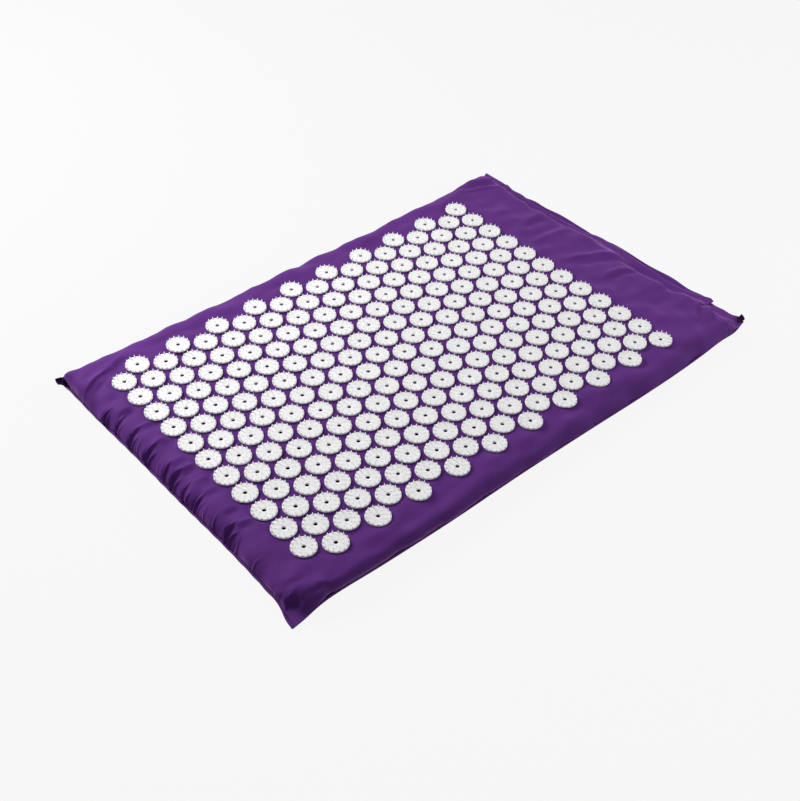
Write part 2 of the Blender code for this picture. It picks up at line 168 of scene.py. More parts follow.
def smooth_path(points: Array, steps: int = 4) -> Array:
    """Round the bends of a path through some points.

    Args:
        points: The points, one to a row.
        steps: How many steps each stretch gets.

    Returns:
        The finer path, or the points as they are where there are only two.
    """
    if len(points) < 3:
        return points
    order = np.arange(len(points), dtype=float)
    fine = np.linspace(0.0, len(points) - 1.0, (len(points) - 1) * steps + 1)
    return np.stack([cubic(order, points[:, axis], fine) for axis in range(points.shape[1])], axis=-1)


class Sketch:
    """Adds nodes to a node tree and links them."""

    def __init__(self, tree: bpy.types.NodeTree) -> None:
        """Keep the tree that is drawn on."""
        self.tree = tree

    def add(self, kind: str, inputs: dict | None = None, **settings: object) -> bpy.types.Node:
        """Add one node.

        Args:
            kind: The node's type name.
            inputs: Values or sockets for its inputs, by name or number.
            **settings: Values for its own properties.

        Returns:
            The new node.
        """
        node = self.tree.nodes.new(kind)
        for name, value in settings.items():
            setattr(node, name, value)
        self.fill(node, inputs or {})
        return node

    def fill(self, node: bpy.types.Node, inputs: dict) -> None:
        """Set some of a node's inputs.

        Args:
            node: The node.
            inputs: Values or sockets, by input name or number.
        """
        for key, value in inputs.items():
            if isinstance(value, bpy.types.NodeSocket):
                self.tree.links.new(value, node.inputs[key])
            else:
                node.inputs[key].default_value = value

    def math(self, operation: str, *values: object) -> bpy.types.NodeSocket:
        """Add a Math node and return its output."""
        return self.add("ShaderNodeMath", dict(enumerate(values)), operation=operation).outputs[0]


def new_group(name: str, kind: str, inputs: dict[str, str], outputs: dict[str, str]) -> tuple:
    """Make a node group with named sockets.

    Args:
        name: The group's name.
        kind: ShaderNodeTree or GeometryNodeTree.
        inputs: Socket type by input name.
        outputs: Socket type by output name.

    Returns:
        The group, its sketch, its input node and its output node.
    """
    group = bpy.data.node_groups.new(name, kind)
    for label, socket in inputs.items():
        group.interface.new_socket(name=label, in_out="INPUT", socket_type=socket)
    for label, socket in outputs.items():
        group.interface.new_socket(name=label, in_out="OUTPUT", socket_type=socket)
    sketch = Sketch(group)
    return group, sketch, sketch.add("NodeGroupInput"), sketch.add("NodeGroupOutput")


def weave_group() -> bpy.types.NodeTree:
    """Make the effect that lays plain-woven threads over a piece, as a height.

    Returns:
        The node group.
    """
    inputs = {"Place": "NodeSocketVector", "Thread Pitch": "NodeSocketFloat", "Unevenness": "NodeSocketFloat"}
    group, sketch, given, result = new_group("thread weave", "ShaderNodeTree", inputs,
                                             {"Height": "NodeSocketFloat"})
    warp = sketch.add("ShaderNodeTexNoise", {"Vector": given.outputs["Place"], "Scale": WARP_SCALE,
                                             "Detail": WARP_DETAIL})
    bend = sketch.math("MULTIPLY", warp.outputs["Fac"], given.outputs["Unevenness"])
    split = sketch.add("ShaderNodeSeparateXYZ", {0: given.outputs["Place"]})
    turn = sketch.math("DIVIDE", math.tau, given.outputs["Thread Pitch"])
    waves = []
    for axis in range(2):
        phase = sketch.math("MULTIPLY_ADD", split.outputs[axis], turn, bend)
        waves.append(sketch.math("SINE", phase))
    product = sketch.math("MULTIPLY", waves[0], waves[1])
    sketch.fill(result, {"Height": sketch.math("MULTIPLY_ADD", product, 0.5, 0.5)})
    return group


def mottle_group() -> bpy.types.NodeTree:
    """Make the effect that varies a colour softly over a piece.

    Returns:
        The node group.
    """
    inputs = {"Place": "NodeSocketVector", "Colour": "NodeSocketColor", "Patch Scale": "NodeSocketFloat",
              "Amount": "NodeSocketFloat"}
    group, sketch, given, result = new_group("soft mottle", "ShaderNodeTree", inputs,
                                             {"Colour": "NodeSocketColor"})
    noise = sketch.add("ShaderNodeTexNoise", {"Vector": given.outputs["Place"], "Detail": MOTTLE_DETAIL,
                                              "Scale": given.outputs["Patch Scale"]})
    centred = sketch.math("SUBTRACT", noise.outputs["Fac"], 0.5)
    shade = sketch.math("MULTIPLY_ADD", centred, given.outputs["Amount"], 1.0)
    scaled = sketch.add("ShaderNodeVectorMath", {0: given.outputs["Colour"], "Scale": shade},
                        operation="SCALE")
    sketch.fill(result, {"Colour": scaled.outputs[0]})
    return group


def grain_group() -> bpy.types.NodeTree:
    """Make the effect that gives a surface a fine grain, as a height.

    Returns:
        The node group.
    """
    inputs = {"Place": "NodeSocketVector", "Grain Scale": "NodeSocketFloat", "Sharpness": "NodeSocketFloat"}
    group, sketch, given, result = new_group("fine grain", "ShaderNodeTree", inputs,
                                             {"Height": "NodeSocketFloat"})
    noise = sketch.add("ShaderNodeTexNoise", {"Vector": given.outputs["Place"],
                                              "Scale": given.outputs["Grain Scale"],
                                              "Detail": GRAIN_DETAIL,
                                              "Roughness": given.outputs["Sharpness"]})
    sketch.fill(result, {"Height": noise.outputs["Fac"]})
    return group


class Effects:
    """The shader node groups that several finishes use, each built once."""

    def __init__(self) -> None:
        """Build the groups."""
        self.weave = weave_group()
        self.mottle = mottle_group()
        self.grain = grain_group()


@dataclass(frozen=True)
class ClothFinish:
    """Woven cotton: dyed threads with a soft, tinted sheen and hardly any gloss."""

    name: str
    colour: Colour
    roughness: float = 0.6
    specular: float = 0.03
    sheen: float = 0.30
    sheen_roughness: float = 0.42
    sheen_tint: Colour = (0.80, 0.38, 0.95)
    thread_pitch: float = 0.00062
    thread_depth: float = 0.00005
    thread_strength: float = 0.5
    thread_unevenness: float = 2.5
    crumple_depth: float = 0.00042
    crumple_scale: float = 70.0
    crumple_sharpness: float = 0.45
    mottle: float = 0.20
    mottle_scale: float = 22.0

    def build(self, effects: Effects) -> bpy.types.Material:
        """Make the material.

        Args:
            effects: The shared node groups.

        Returns:
            The cloth's material, which reads the piece's own cut map.
        """
        material, sketch, shader = new_material(self.name)
        place = sketch.add("ShaderNodeUVMap", uv_map=CUT_MAP).outputs["UV"]
        tone = sketch.add("ShaderNodeGroup", {"Place": place, "Colour": (*self.colour, 1.0),
                                              "Patch Scale": self.mottle_scale, "Amount": self.mottle},
                          node_tree=effects.mottle)
        weave = sketch.add("ShaderNodeGroup", {"Place": place, "Thread Pitch": self.thread_pitch,
                                               "Unevenness": self.thread_unevenness},
                           node_tree=effects.weave)
        grain = sketch.add("ShaderNodeGroup", {"Place": place, "Grain Scale": self.crumple_scale,
                                               "Sharpness": self.crumple_sharpness},
                           node_tree=effects.grain)
        threads = sketch.add("ShaderNodeBump", {"Height": weave.outputs["Height"],
                                                "Distance": self.thread_depth,
                                                "Strength": self.thread_strength})
        crumple = sketch.add("ShaderNodeBump", {"Height": grain.outputs["Height"],
                                                "Distance": self.crumple_depth, "Strength": 1.0,
                                                "Normal": threads.outputs["Normal"]})
        sketch.fill(shader, {"Base Color": tone.outputs["Colour"], "Normal": crumple.outputs["Normal"],
                             "Roughness": self.roughness, "Specular IOR Level": self.specular,
                             "Sheen Weight": self.sheen, "Sheen Roughness": self.sheen_roughness,
                             "Sheen Tint": (*self.sheen_tint, 1.0)})
        return material


@dataclass(frozen=True)
class SolidFinish:
    """Moulded plastic, foam or thread: one colour with a soft mottle and a grain."""

    name: str
    colour: Colour
    roughness: float
    specular: float = 0.5
    patch_scale: float = 40.0
    mottle: float = 0.04
    grain_scale: float = 900.0
    grain_depth: float = 0.00003
    grain_sharpness: float = 0.6
    subsurface: float = 0.0
    depth: float = 0.002

    def build(self, effects: Effects) -> bpy.types.Material:
        """Make the material.

        Args:
            effects: The shared node groups.

        Returns:
            The material, which reads the object's coordinates.
        """
        material, sketch, shader = new_material(self.name)
        place = sketch.add("ShaderNodeTexCoord").outputs["Object"]
        tone = sketch.add("ShaderNodeGroup", {"Place": place, "Colour": (*self.colour, 1.0),
                                              "Patch Scale": self.patch_scale, "Amount": self.mottle},
                          node_tree=effects.mottle)
        grain = sketch.add("ShaderNodeGroup", {"Place": place, "Grain Scale": self.grain_scale,
                                               "Sharpness": self.grain_sharpness},
                           node_tree=effects.grain)
        bump = sketch.add("ShaderNodeBump", {"Height": grain.outputs["Height"],
                                             "Distance": self.grain_depth, "Strength": 1.0})
        sketch.fill(shader, {"Base Color": tone.outputs["Colour"], "Normal": bump.outputs["Normal"],
                             "Roughness": self.roughness, "Specular IOR Level": self.specular,
                             "Subsurface Weight": self.subsurface, "Subsurface Radius": (1.0, 1.0, 1.0),
                             "Subsurface Scale": self.depth})
        return material


def new_material(name: str) -> tuple[bpy.types.Material, Sketch, bpy.types.Node]:
    """Make a node material.

    Args:
        name: Its name.

    Returns:
        The material, its sketch and its Principled shader.
    """
    material = bpy.data.materials.new(name)
    material.use_nodes = True
    return material, Sketch(material.node_tree), material.node_tree.nodes["Principled BSDF"]


COVER_CLOTH = ClothFinish("purple cover cotton", (0.097, 0.026, 0.182))
# A little darker than the top cloth's purple: painted shade on the bottom cloth, which is seen in shadow.
LINING_CLOTH = ClothFinish("purple underside cotton", (0.088, 0.024, 0.165), sheen=0.15)
SEAM_CLOTH = ClothFinish("purple seam cotton", (0.097, 0.026, 0.182), crumple_depth=0.0001)
# Near-black: painted shade on the turned hem tabs, which are of the cover's purple cotton.
TAB_SHADE_CLOTH = ClothFinish("dark turned hem cotton", (0.020, 0.005, 0.035), roughness=0.8, sheen=0.05)
TAPE_CLOTH = ClothFinish("dark tape weave", (0.050, 0.018, 0.085), roughness=0.85, sheen=0.1,
                         thread_pitch=0.0009)
SEWING_THREAD = SolidFinish("purple sewing thread", (0.100, 0.034, 0.180), 0.6, specular=0.3)
HOOK_PLASTIC = SolidFinish("dark tape filament", (0.050, 0.018, 0.085), 0.45)
DISC_PLASTIC = SolidFinish("white disc plastic", (0.93, 0.93, 0.925), 0.45, specular=0.3, mottle=0.03,
                           subsurface=0.8, depth=0.004)
# Near-black disc set low in each disc's hole: painted shade for the dark seen down the hole, not a real part.
HOLE_SHADE_PLASTIC = SolidFinish("dark disc backing", (0.004, 0.003, 0.005), 0.9, specular=0.0)
FOAM_CELLS = SolidFinish("pale open-cell foam", (0.72, 0.70, 0.62), 0.95, specular=0.1, mottle=0.10,
                         grain_scale=1400.0, grain_depth=0.0006)


@dataclass(frozen=True)
class Fold:
    """One fold of the cloth along a short path in plan, in millimetres."""

    path: Points
    width: float
    height: float
    kind: FoldKind = FoldKind.RIDGE
    lean: float = 0.0
    start_fade: float = 0.3
    end_fade: float = 0.3
    crest: float = 1.7
    reach_widths: float = 3.0
    faded_share: float = 0.12

    def lift(self, x: Array, y: Array) -> Array:
        """Return how far the fold moves the cloth out.

        Args:
            x: Places along the mat, in metres.
            y: Places across the mat, in metres.

        Returns:
            The lift at each place, in metres.
        """
        points = smooth_path(np.array(self.path) * MM)
        margin = self.reach_widths * self.width * MM
        low, high = points.min(0) - margin, points.max(0) + margin
        near = (x > low[0]) & (x < high[0]) & (y > low[1]) & (y < high[1])
        lift = np.zeros(x.shape)
        px, py = x[near], y[near]
        steps = np.diff(points, axis=0)
        lengths = np.linalg.norm(steps, axis=1)
        starts = np.concatenate([[0.0], np.cumsum(lengths)])
        nearest = np.full(px.shape, np.inf)
        side, along = np.zeros(px.shape), np.zeros(px.shape)
        for start, step, length, before in zip(points, steps, lengths, starts):
            away_x, away_y = px - start[0], py - start[1]
            held = clamp((away_x * step[0] + away_y * step[1]) / length**2)
            away = np.hypot(away_x - held * step[0], away_y - held * step[1])
            closer = away < nearest
            nearest = np.where(closer, away, nearest)
            side = np.where(closer, step[0] * away_y - step[1] * away_x, side)
            along = np.where(closer, (before + held * length) / starts[-1], along)
        width = self.width * MM * (1.0 + self.lean * np.sign(side))
        fade = smooth(along / self.start_fade) * smooth((1.0 - along) / self.end_fade)
        lift[near] = np.exp(-(nearest / width) ** self.crest) * mix(self.faded_share, 1.0, fade)
        return self.kind.value * self.height * MM * lift


@dataclass(frozen=True)
class PleatLine:
    """One of the lines that every pleat is made of.

    Its start is a run in from the seam and an offset along it, in millimetres. Its middle and its end are
    a share of the pleat's reach, an offset along the seam and a share of the pleat's slant.
    """

    kind: FoldKind
    width: float
    depth_share: float
    start: tuple[float, float]
    middle: tuple[float, float, float]
    end: tuple[float, float, float]
    lean: float
    start_fade: float
    end_fade: float
    crest: float = 1.7


CREASE = PleatLine(FoldKind.VALLEY, 1.0, 0.4, (-1.5, 1.2), (0.5, 2.2, 0.6), (1.0, 2.0, 1.0), 0.2, 0.05,
                   0.7, 1.4)
CREASE_RIDGE = PleatLine(FoldKind.RIDGE, 1.0, 0.8, (-1.0, -1.2), (0.6, -0.1, 0.7), (1.35, 0.3, 1.3), 0.0, 0.1,
                         0.6, 1.4)
DIP = PleatLine(FoldKind.VALLEY, 1.9, 0.15, (1.0, -4.2), (0.7, -3.2, 0.8), (1.3, -2.8, 1.4), 0.0, 0.3, 0.6)


@dataclass(frozen=True)
class Gather:
    """One pleat of the gathered end, in millimetres: its place along the seam, its depth and its reach."""

    place: float
    depth: float
    reach: float
    slant: float = 0.0

    def folds(self, seam: float) -> list[Fold]:
        """Return the pleat's crease, the sharp ridge beside it and the dip behind the ridge.

        Args:
            seam: The seam's X, in millimetres.

        Returns:
            The three folds.
        """
        folds = []
        for line in (CREASE, CREASE_RIDGE, DIP):
            run, offset = line.start
            path = [(seam + run, self.place + offset)]
            for reach_share, offset, slant_share in (line.middle, line.end):
                path.append((seam + reach_share * self.reach, self.place + offset + slant_share * self.slant))
            folds.append(Fold(tuple(path), line.width, line.depth_share * self.depth, line.kind, line.lean,
                              line.start_fade, line.end_fade, line.crest))
        return folds


GATHERS = (
    Gather(132, 0.6, 6, 2.0), Gather(122, 2.6, 10, -1.5), Gather(115.5, 1.7, 7, 2.5),
    Gather(100.5, 2.8, 11, 1.0), Gather(96, 1.2, 6, -2.0), Gather(75.5, 4.0, 14, 1.0),
    Gather(70, 1.6, 7, -2.5), Gather(59, 1.2, 7, 2.0), Gather(46.5, 3.8, 14, -1.0),
    Gather(40.5, 1.8, 8, -3.0), Gather(24, 0.8, 6, 2.0), Gather(12.7, 2.8, 12, 2.5),
    Gather(1.0, 4.4, 14, -1.0), Gather(-5.5, 1.8, 7, -3.0), Gather(-21, 3.0, 11, 1.5),
    Gather(-27, 1.2, 6, -1.5), Gather(-40, 3.0, 11, -1.5), Gather(-45, 1.3, 7, -3.0),
    Gather(-57, 1.0, 7, 2.0), Gather(-73, 1.5, 8, 2.5), Gather(-90, 4.2, 13, -1.0),
    Gather(-96.5, 2.4, 8, -3.5), Gather(-109, 1.0, 7, 2.0), Gather(-138, 0.8, 7, -2.0),
)


@dataclass(frozen=True)
class FoldSheet:
    """The folds of the top cloth that were placed one by one, in groups by place."""

    def gathered_end(self) -> list[Fold]:
        """Return the long soft folds between the pleats and the discs."""
        ridge, valley = FoldKind.RIDGE, FoldKind.VALLEY
        return [
            Fold(((-321, 159), (-302, 165), (-285, 171.5), (-268, 177.5), (-250, 182)), 2.8, 2.8, ridge,
                 0.25),
            Fold(((-314, 149), (-300, 154), (-288, 160), (-270, 168)), 4.5, 1.6, valley),
            Fold(((-318, 171), (-300, 177), (-282, 183)), 4.0, 1.2, valley),
            Fold(((-320, 186), (-300, 187), (-280, 185)), 6.0, 0.8, valley),
            Fold(((-318, 138), (-306, 140), (-296, 138)), 6.0, 0.7, ridge),
            Fold(((-314, 128), (-304, 128), (-295, 126)), 5.0, 0.7, valley),
            Fold(((-314, 108), (-304, 108), (-294, 106)), 4.0, 1.1, ridge),
            Fold(((-314, 100), (-304, 99.5), (-294, 98)), 4.5, 0.8, valley),
            Fold(((-313, 77), (-302, 76), (-290, 75)), 3.0, 1.4, ridge),
            Fold(((-314, 69.5), (-302, 68.5), (-291, 68)), 4.5, 0.9, valley),
            Fold(((-313, 48), (-302, 47), (-292, 46)), 3.4, 1.1, ridge),
            Fold(((-314, 39.5), (-303, 38.5), (-292, 38)), 5.0, 0.8, valley),
            Fold(((-314, 14.5), (-303, 13.5), (-294, 12.5)), 3.6, 0.9, ridge),
            Fold(((-313, 6.5), (-303, 5.5), (-293, 4.5)), 3.0, 0.7, valley),
            Fold(((-313, -1), (-303, -2), (-293, -3.5)), 2.8, 1.3, ridge),
            Fold(((-314, -8.5), (-303, -10), (-293, -12)), 4.0, 0.9, valley),
            Fold(((-313, -23), (-303, -24), (-294, -26)), 4.0, 0.9, ridge),
            Fold(((-312, -40), (-303, -41), (-294, -43)), 4.0, 1.0, ridge),
            Fold(((-312, -47), (-303, -48.5), (-293, -51)), 5.0, 1.1, valley),
            Fold(((-312, -72), (-303, -73.5), (-294, -76)), 5.0, 0.9, ridge),
            Fold(((-313, -79), (-303, -80.5), (-295, -83)), 5.0, 1.1, valley),
            Fold(((-313, -92.5), (-303, -96), (-292, -101)), 3.0, 1.4, ridge),
            Fold(((-314, -99), (-303, -104), (-295, -108)), 5.0, 1.1, valley),
            Fold(((-313, -122), (-303, -126), (-293, -132)), 7.0, 0.7, ridge),
        ]

    def open_end(self) -> list[Fold]:
        """Return the soft folds of the bare strip before the lip, and those of its two corners."""
        ridge, valley = FoldKind.RIDGE, FoldKind.VALLEY
        return [
            Fold(((234, 187), (257, 180), (278, 170), (299, 157)), 3.6, 3.0, ridge, 0.25),
            Fold(((246, 190), (267, 184.5), (284, 177.5), (300, 167)), 4.2, 3.2, valley),
            Fold(((262, 196), (285, 188), (303, 178)), 3.8, 2.3, ridge),
            Fold(((232, 136), (262, 140), (290, 133)), 10.0, 1.2, valley),
            Fold(((234, 118), (262, 118), (292, 110)), 8.0, 1.1, ridge),
            Fold(((236, 56), (266, 57), (292, 53)), 6.5, 1.9, valley),
            Fold(((236, 46), (266, 46), (300, 38)), 5.0, 1.9, ridge),
            Fold(((250, 74), (275, 75), (294, 70)), 5.0, 1.5, valley),
            Fold(((252, 84), (278, 85), (294, 82)), 5.0, 1.5, ridge),
            Fold(((234, 2), (262, -9), (284, -20), (303, -33)), 4.6, 2.6, ridge, 0.25),
            Fold(((246, -15), (268, -26), (288, -36), (300, -46)), 6.0, 2.3, valley),
            Fold(((246, -53), (276, -56), (296, -68)), 4.6, 2.3, ridge),
            Fold(((256, -63), (280, -66), (294, -77)), 4.6, 2.0, valley),
            Fold(((240, -98), (270, -102), (296, -110)), 8.0, 1.3, ridge),
            Fold(((245, -124), (275, -127), (304, -131)), 7.0, 1.4, valley),
            Fold(((268, -142), (286, -143), (306, -142)), 5.0, 1.3, ridge),
            Fold(((320, -156), (300, -173), (278, -192)), 3.0, 3.0, ridge, -0.2),
            Fold(((315, -153), (287, -171), (262, -189)), 4.4, 3.0, valley),
            Fold(((323, -188), (314, -195), (304, -202)), 2.2, 2.2, valley),
            Fold(((327, -182), (318, -188)), 3.0, 1.0, ridge),
            Fold(((340, -198), (330, -197), (320, -201)), 3.0, 2.0, valley),
            Fold(((310, 190), (316, 198), (322, 208)), 3.0, 1.6, valley),
        ]

    def near_side(self) -> list[Fold]:
        """Return the soft streaks of the near long side."""
        ridge, valley = FoldKind.RIDGE, FoldKind.VALLEY
        return [
            Fold(((-290, -183), (-220, -188), (-150, -185)), 8.0, 1.0, ridge),
            Fold(((-250, -199), (-200, -197), (-140, -200)), 7.0, 1.2, valley),
            Fold(((-170, -196), (-120, -192), (-70, -194)), 6.0, 1.1, valley),
            Fold(((-110, -186), (-50, -189), (20, -185)), 7.0, 1.1, ridge),
            Fold(((-20, -195), (40, -190), (90, -191)), 6.0, 1.1, valley),
            Fold(((60, -183), (120, -188), (180, -183)), 7.0, 1.0, ridge),
            Fold(((150, -192), (200, -189), (260, -192)), 6.0, 1.0, valley),
            Fold(((-24, -207), (-12, -193)), 2.4, 1.1, valley),
            Fold(((-4, -206), (9, -193)), 2.4, 1.2, valley),
            Fold(((16, -206), (32, -190)), 2.6, 1.3, valley),
            Fold(((38, -205), (52, -190)), 2.4, 1.1, valley),
            Fold(((60, -205), (78, -191)), 2.6, 1.2, valley),
            Fold(((96, -205), (110, -191)), 2.6, 1.0, valley),
        ]

    def far_side(self) -> list[Fold]:
        """Return the soft lengthwise folds of the far long side."""
        ridge, valley = FoldKind.RIDGE, FoldKind.VALLEY
        return [
            Fold(((-250, 182), (-210, 175), (-172, 168)), 6.0, 1.2, valley),
            Fold(((-240, 188), (-200, 182), (-160, 176)), 7.0, 0.9, ridge),
            Fold(((-160, 168), (-135, 174), (-100, 180)), 6.0, 0.8, ridge),
            Fold(((-115, 167), (-92, 173), (-60, 179)), 6.0, 0.8, ridge),
            Fold(((-100, 167), (-70, 172), (-40, 175)), 6.0, 0.8, valley),
            Fold(((-50, 168), (-20, 174), (20, 180)), 6.0, 0.8, ridge),
            Fold(((0, 167), (40, 173), (80, 176)), 6.0, 0.9, valley),
            Fold(((30, 169), (70, 176), (110, 181)), 6.0, 0.8, ridge),
            Fold(((90, 168), (130, 174), (170, 176)), 6.0, 0.9, valley),
            Fold(((130, 171), (170, 178), (210, 183)), 6.0, 0.8, ridge),
            Fold(((190, 172), (225, 180), (262, 184)), 5.0, 1.1, ridge),
        ]

    def left_corners(self) -> list[Fold]:
        """Return the creases of the two corners of the gathered end."""
        ridge, valley = FoldKind.RIDGE, FoldKind.VALLEY
        return [
            Fold(((-329, -188), (-324, -196), (-317, -200)), 3.0, 2.4, valley, 0.0, 0.2, 0.3),
            Fold(((-332, -199), (-316, -200), (-296, -202), (-270, -204)), 5.0, 1.6, valley),
            Fold(((-314, -193), (-316.5, -200), (-319, -207)), 1.5, 1.5, ridge),
            Fold(((-331, -184), (-331.5, -195), (-334, -206)), 1.6, 1.3, ridge),
            Fold(((-326, -173), (-325, -184)), 2.0, 1.2, ridge),
            Fold(((-313, -203), (-300, -205), (-284, -206)), 4.0, 2.2, valley),
            Fold(((-300, -196), (-288, -203), (-276, -207)), 3.0, 1.4, ridge),
            Fold(((-322, -178), (-312, -184), (-300, -186)), 4.0, 1.2, valley),
            Fold(((-318, 182), (-319, 190), (-320, 198)), 2.2, 1.4, valley),
        ]

    def all(self) -> list[Fold]:
        """Return every placed fold."""
        return (self.gathered_end() + self.open_end() + self.near_side() + self.far_side()
                + self.left_corners())


@dataclass(frozen=True)
class Outline:
    """The cover's edges in plan, as places and values in millimetres."""

    left: Points = ((-213, -338.5), (-200, -336), (-185, -331), (-160, -329), (-100, -326.4), (-20, -325.6),
                    (60, -323.8), (140, -323.3), (190, -322), (209, -322.5))
    right: Points = ((-200, 338), (-192, 341), (-182, 337), (-170, 337), (-158, 335.5), (-140, 341),
                     (-120, 338), (-90, 340), (-60, 337.5), (-10, 338.5), (2, 338), (20, 333.5), (50, 333.3),
                     (90, 333.3), (110, 330.5), (130, 330.5), (150, 325.5), (165, 325), (180, 328),
                     (200, 328), (213, 330))
    near: Points = ((-338, -213), (-310, -210), (-290, -209), (-230, -210.5), (-150, -211.5), (-40, -210),
                    (60, -210.4), (150, -211.4), (200, -211), (250, -209), (290, -206), (312, -205),
                    (336, -199))
    far: Points = ((-322, 204), (-310, 200), (-290, 198.5), (-260, 198.5), (-200, 198), (-150, 196.7),
                   (-50, 197.2), (0, 197), (50, 197), (100, 195.5), (200, 199.3), (250, 200), (300, 205),
                   (314, 210), (326, 216))
    lip: Points = ((-154, 338.5), (-148, 341), (-140, 337.5), (-128, 332), (-112, 327), (-95, 325),
                   (-70, 326), (-40, 330), (-15, 333), (5, 333), (18, 333), (26, 331.5), (35, 327),
                   (60, 323), (90, 319), (110, 318), (130, 320), (148, 324), (165, 324), (176, 327),
                   (186, 328))
    hollow: Points = ((-200, 0), (-140, 0), (-125, 0.2), (-110, 0.5), (-95, 0.8), (-75, 0.95), (-60, 0.7),
                      (-48, 0.4), (-35, 0.1), (-20, 0), (20, 0.0), (40, 0.1), (60, 0.3), (75, 0.5),
                      (95, 0.8), (112, 1.0), (130, 1.0), (145, 0.6), (158, 0.2), (175, 0))


@dataclass(frozen=True)
class CornerForm:
    """How full one corner of the cover stands: its place, the powers of its rolls, its sag and its reach."""

    x: float
    y: float
    end_power: float
    side_power: float
    sag: float
    reach: float = 34.0

    def nearness(self, x: Array, y: Array) -> Array:
        """Return 1 at the corner and 0 far from it."""
        return np.exp(-((x - self.x * MM) ** 2 + (y - self.y * MM) ** 2) / (self.reach * MM) ** 2)


@dataclass(frozen=True)
class Grid:
    """The cloth's grid lines: shares of the rolls, places between them and shares past the lip's fold."""

    end: Array
    place: Array
    opening: Array
    low: Array
    across: Array
    high: Array

    def only(self, rows: Array) -> Grid:
        """Return the grid with some of its rows."""
        return Grid(self.end, self.place, self.opening, self.low[rows], self.across[rows], self.high[rows])

    def spread(self, lines: Array) -> Array:
        """Return one value for each crossing, from one for each line along X."""
        return np.broadcast_to(lines[None, :], (len(self.across), len(lines)))


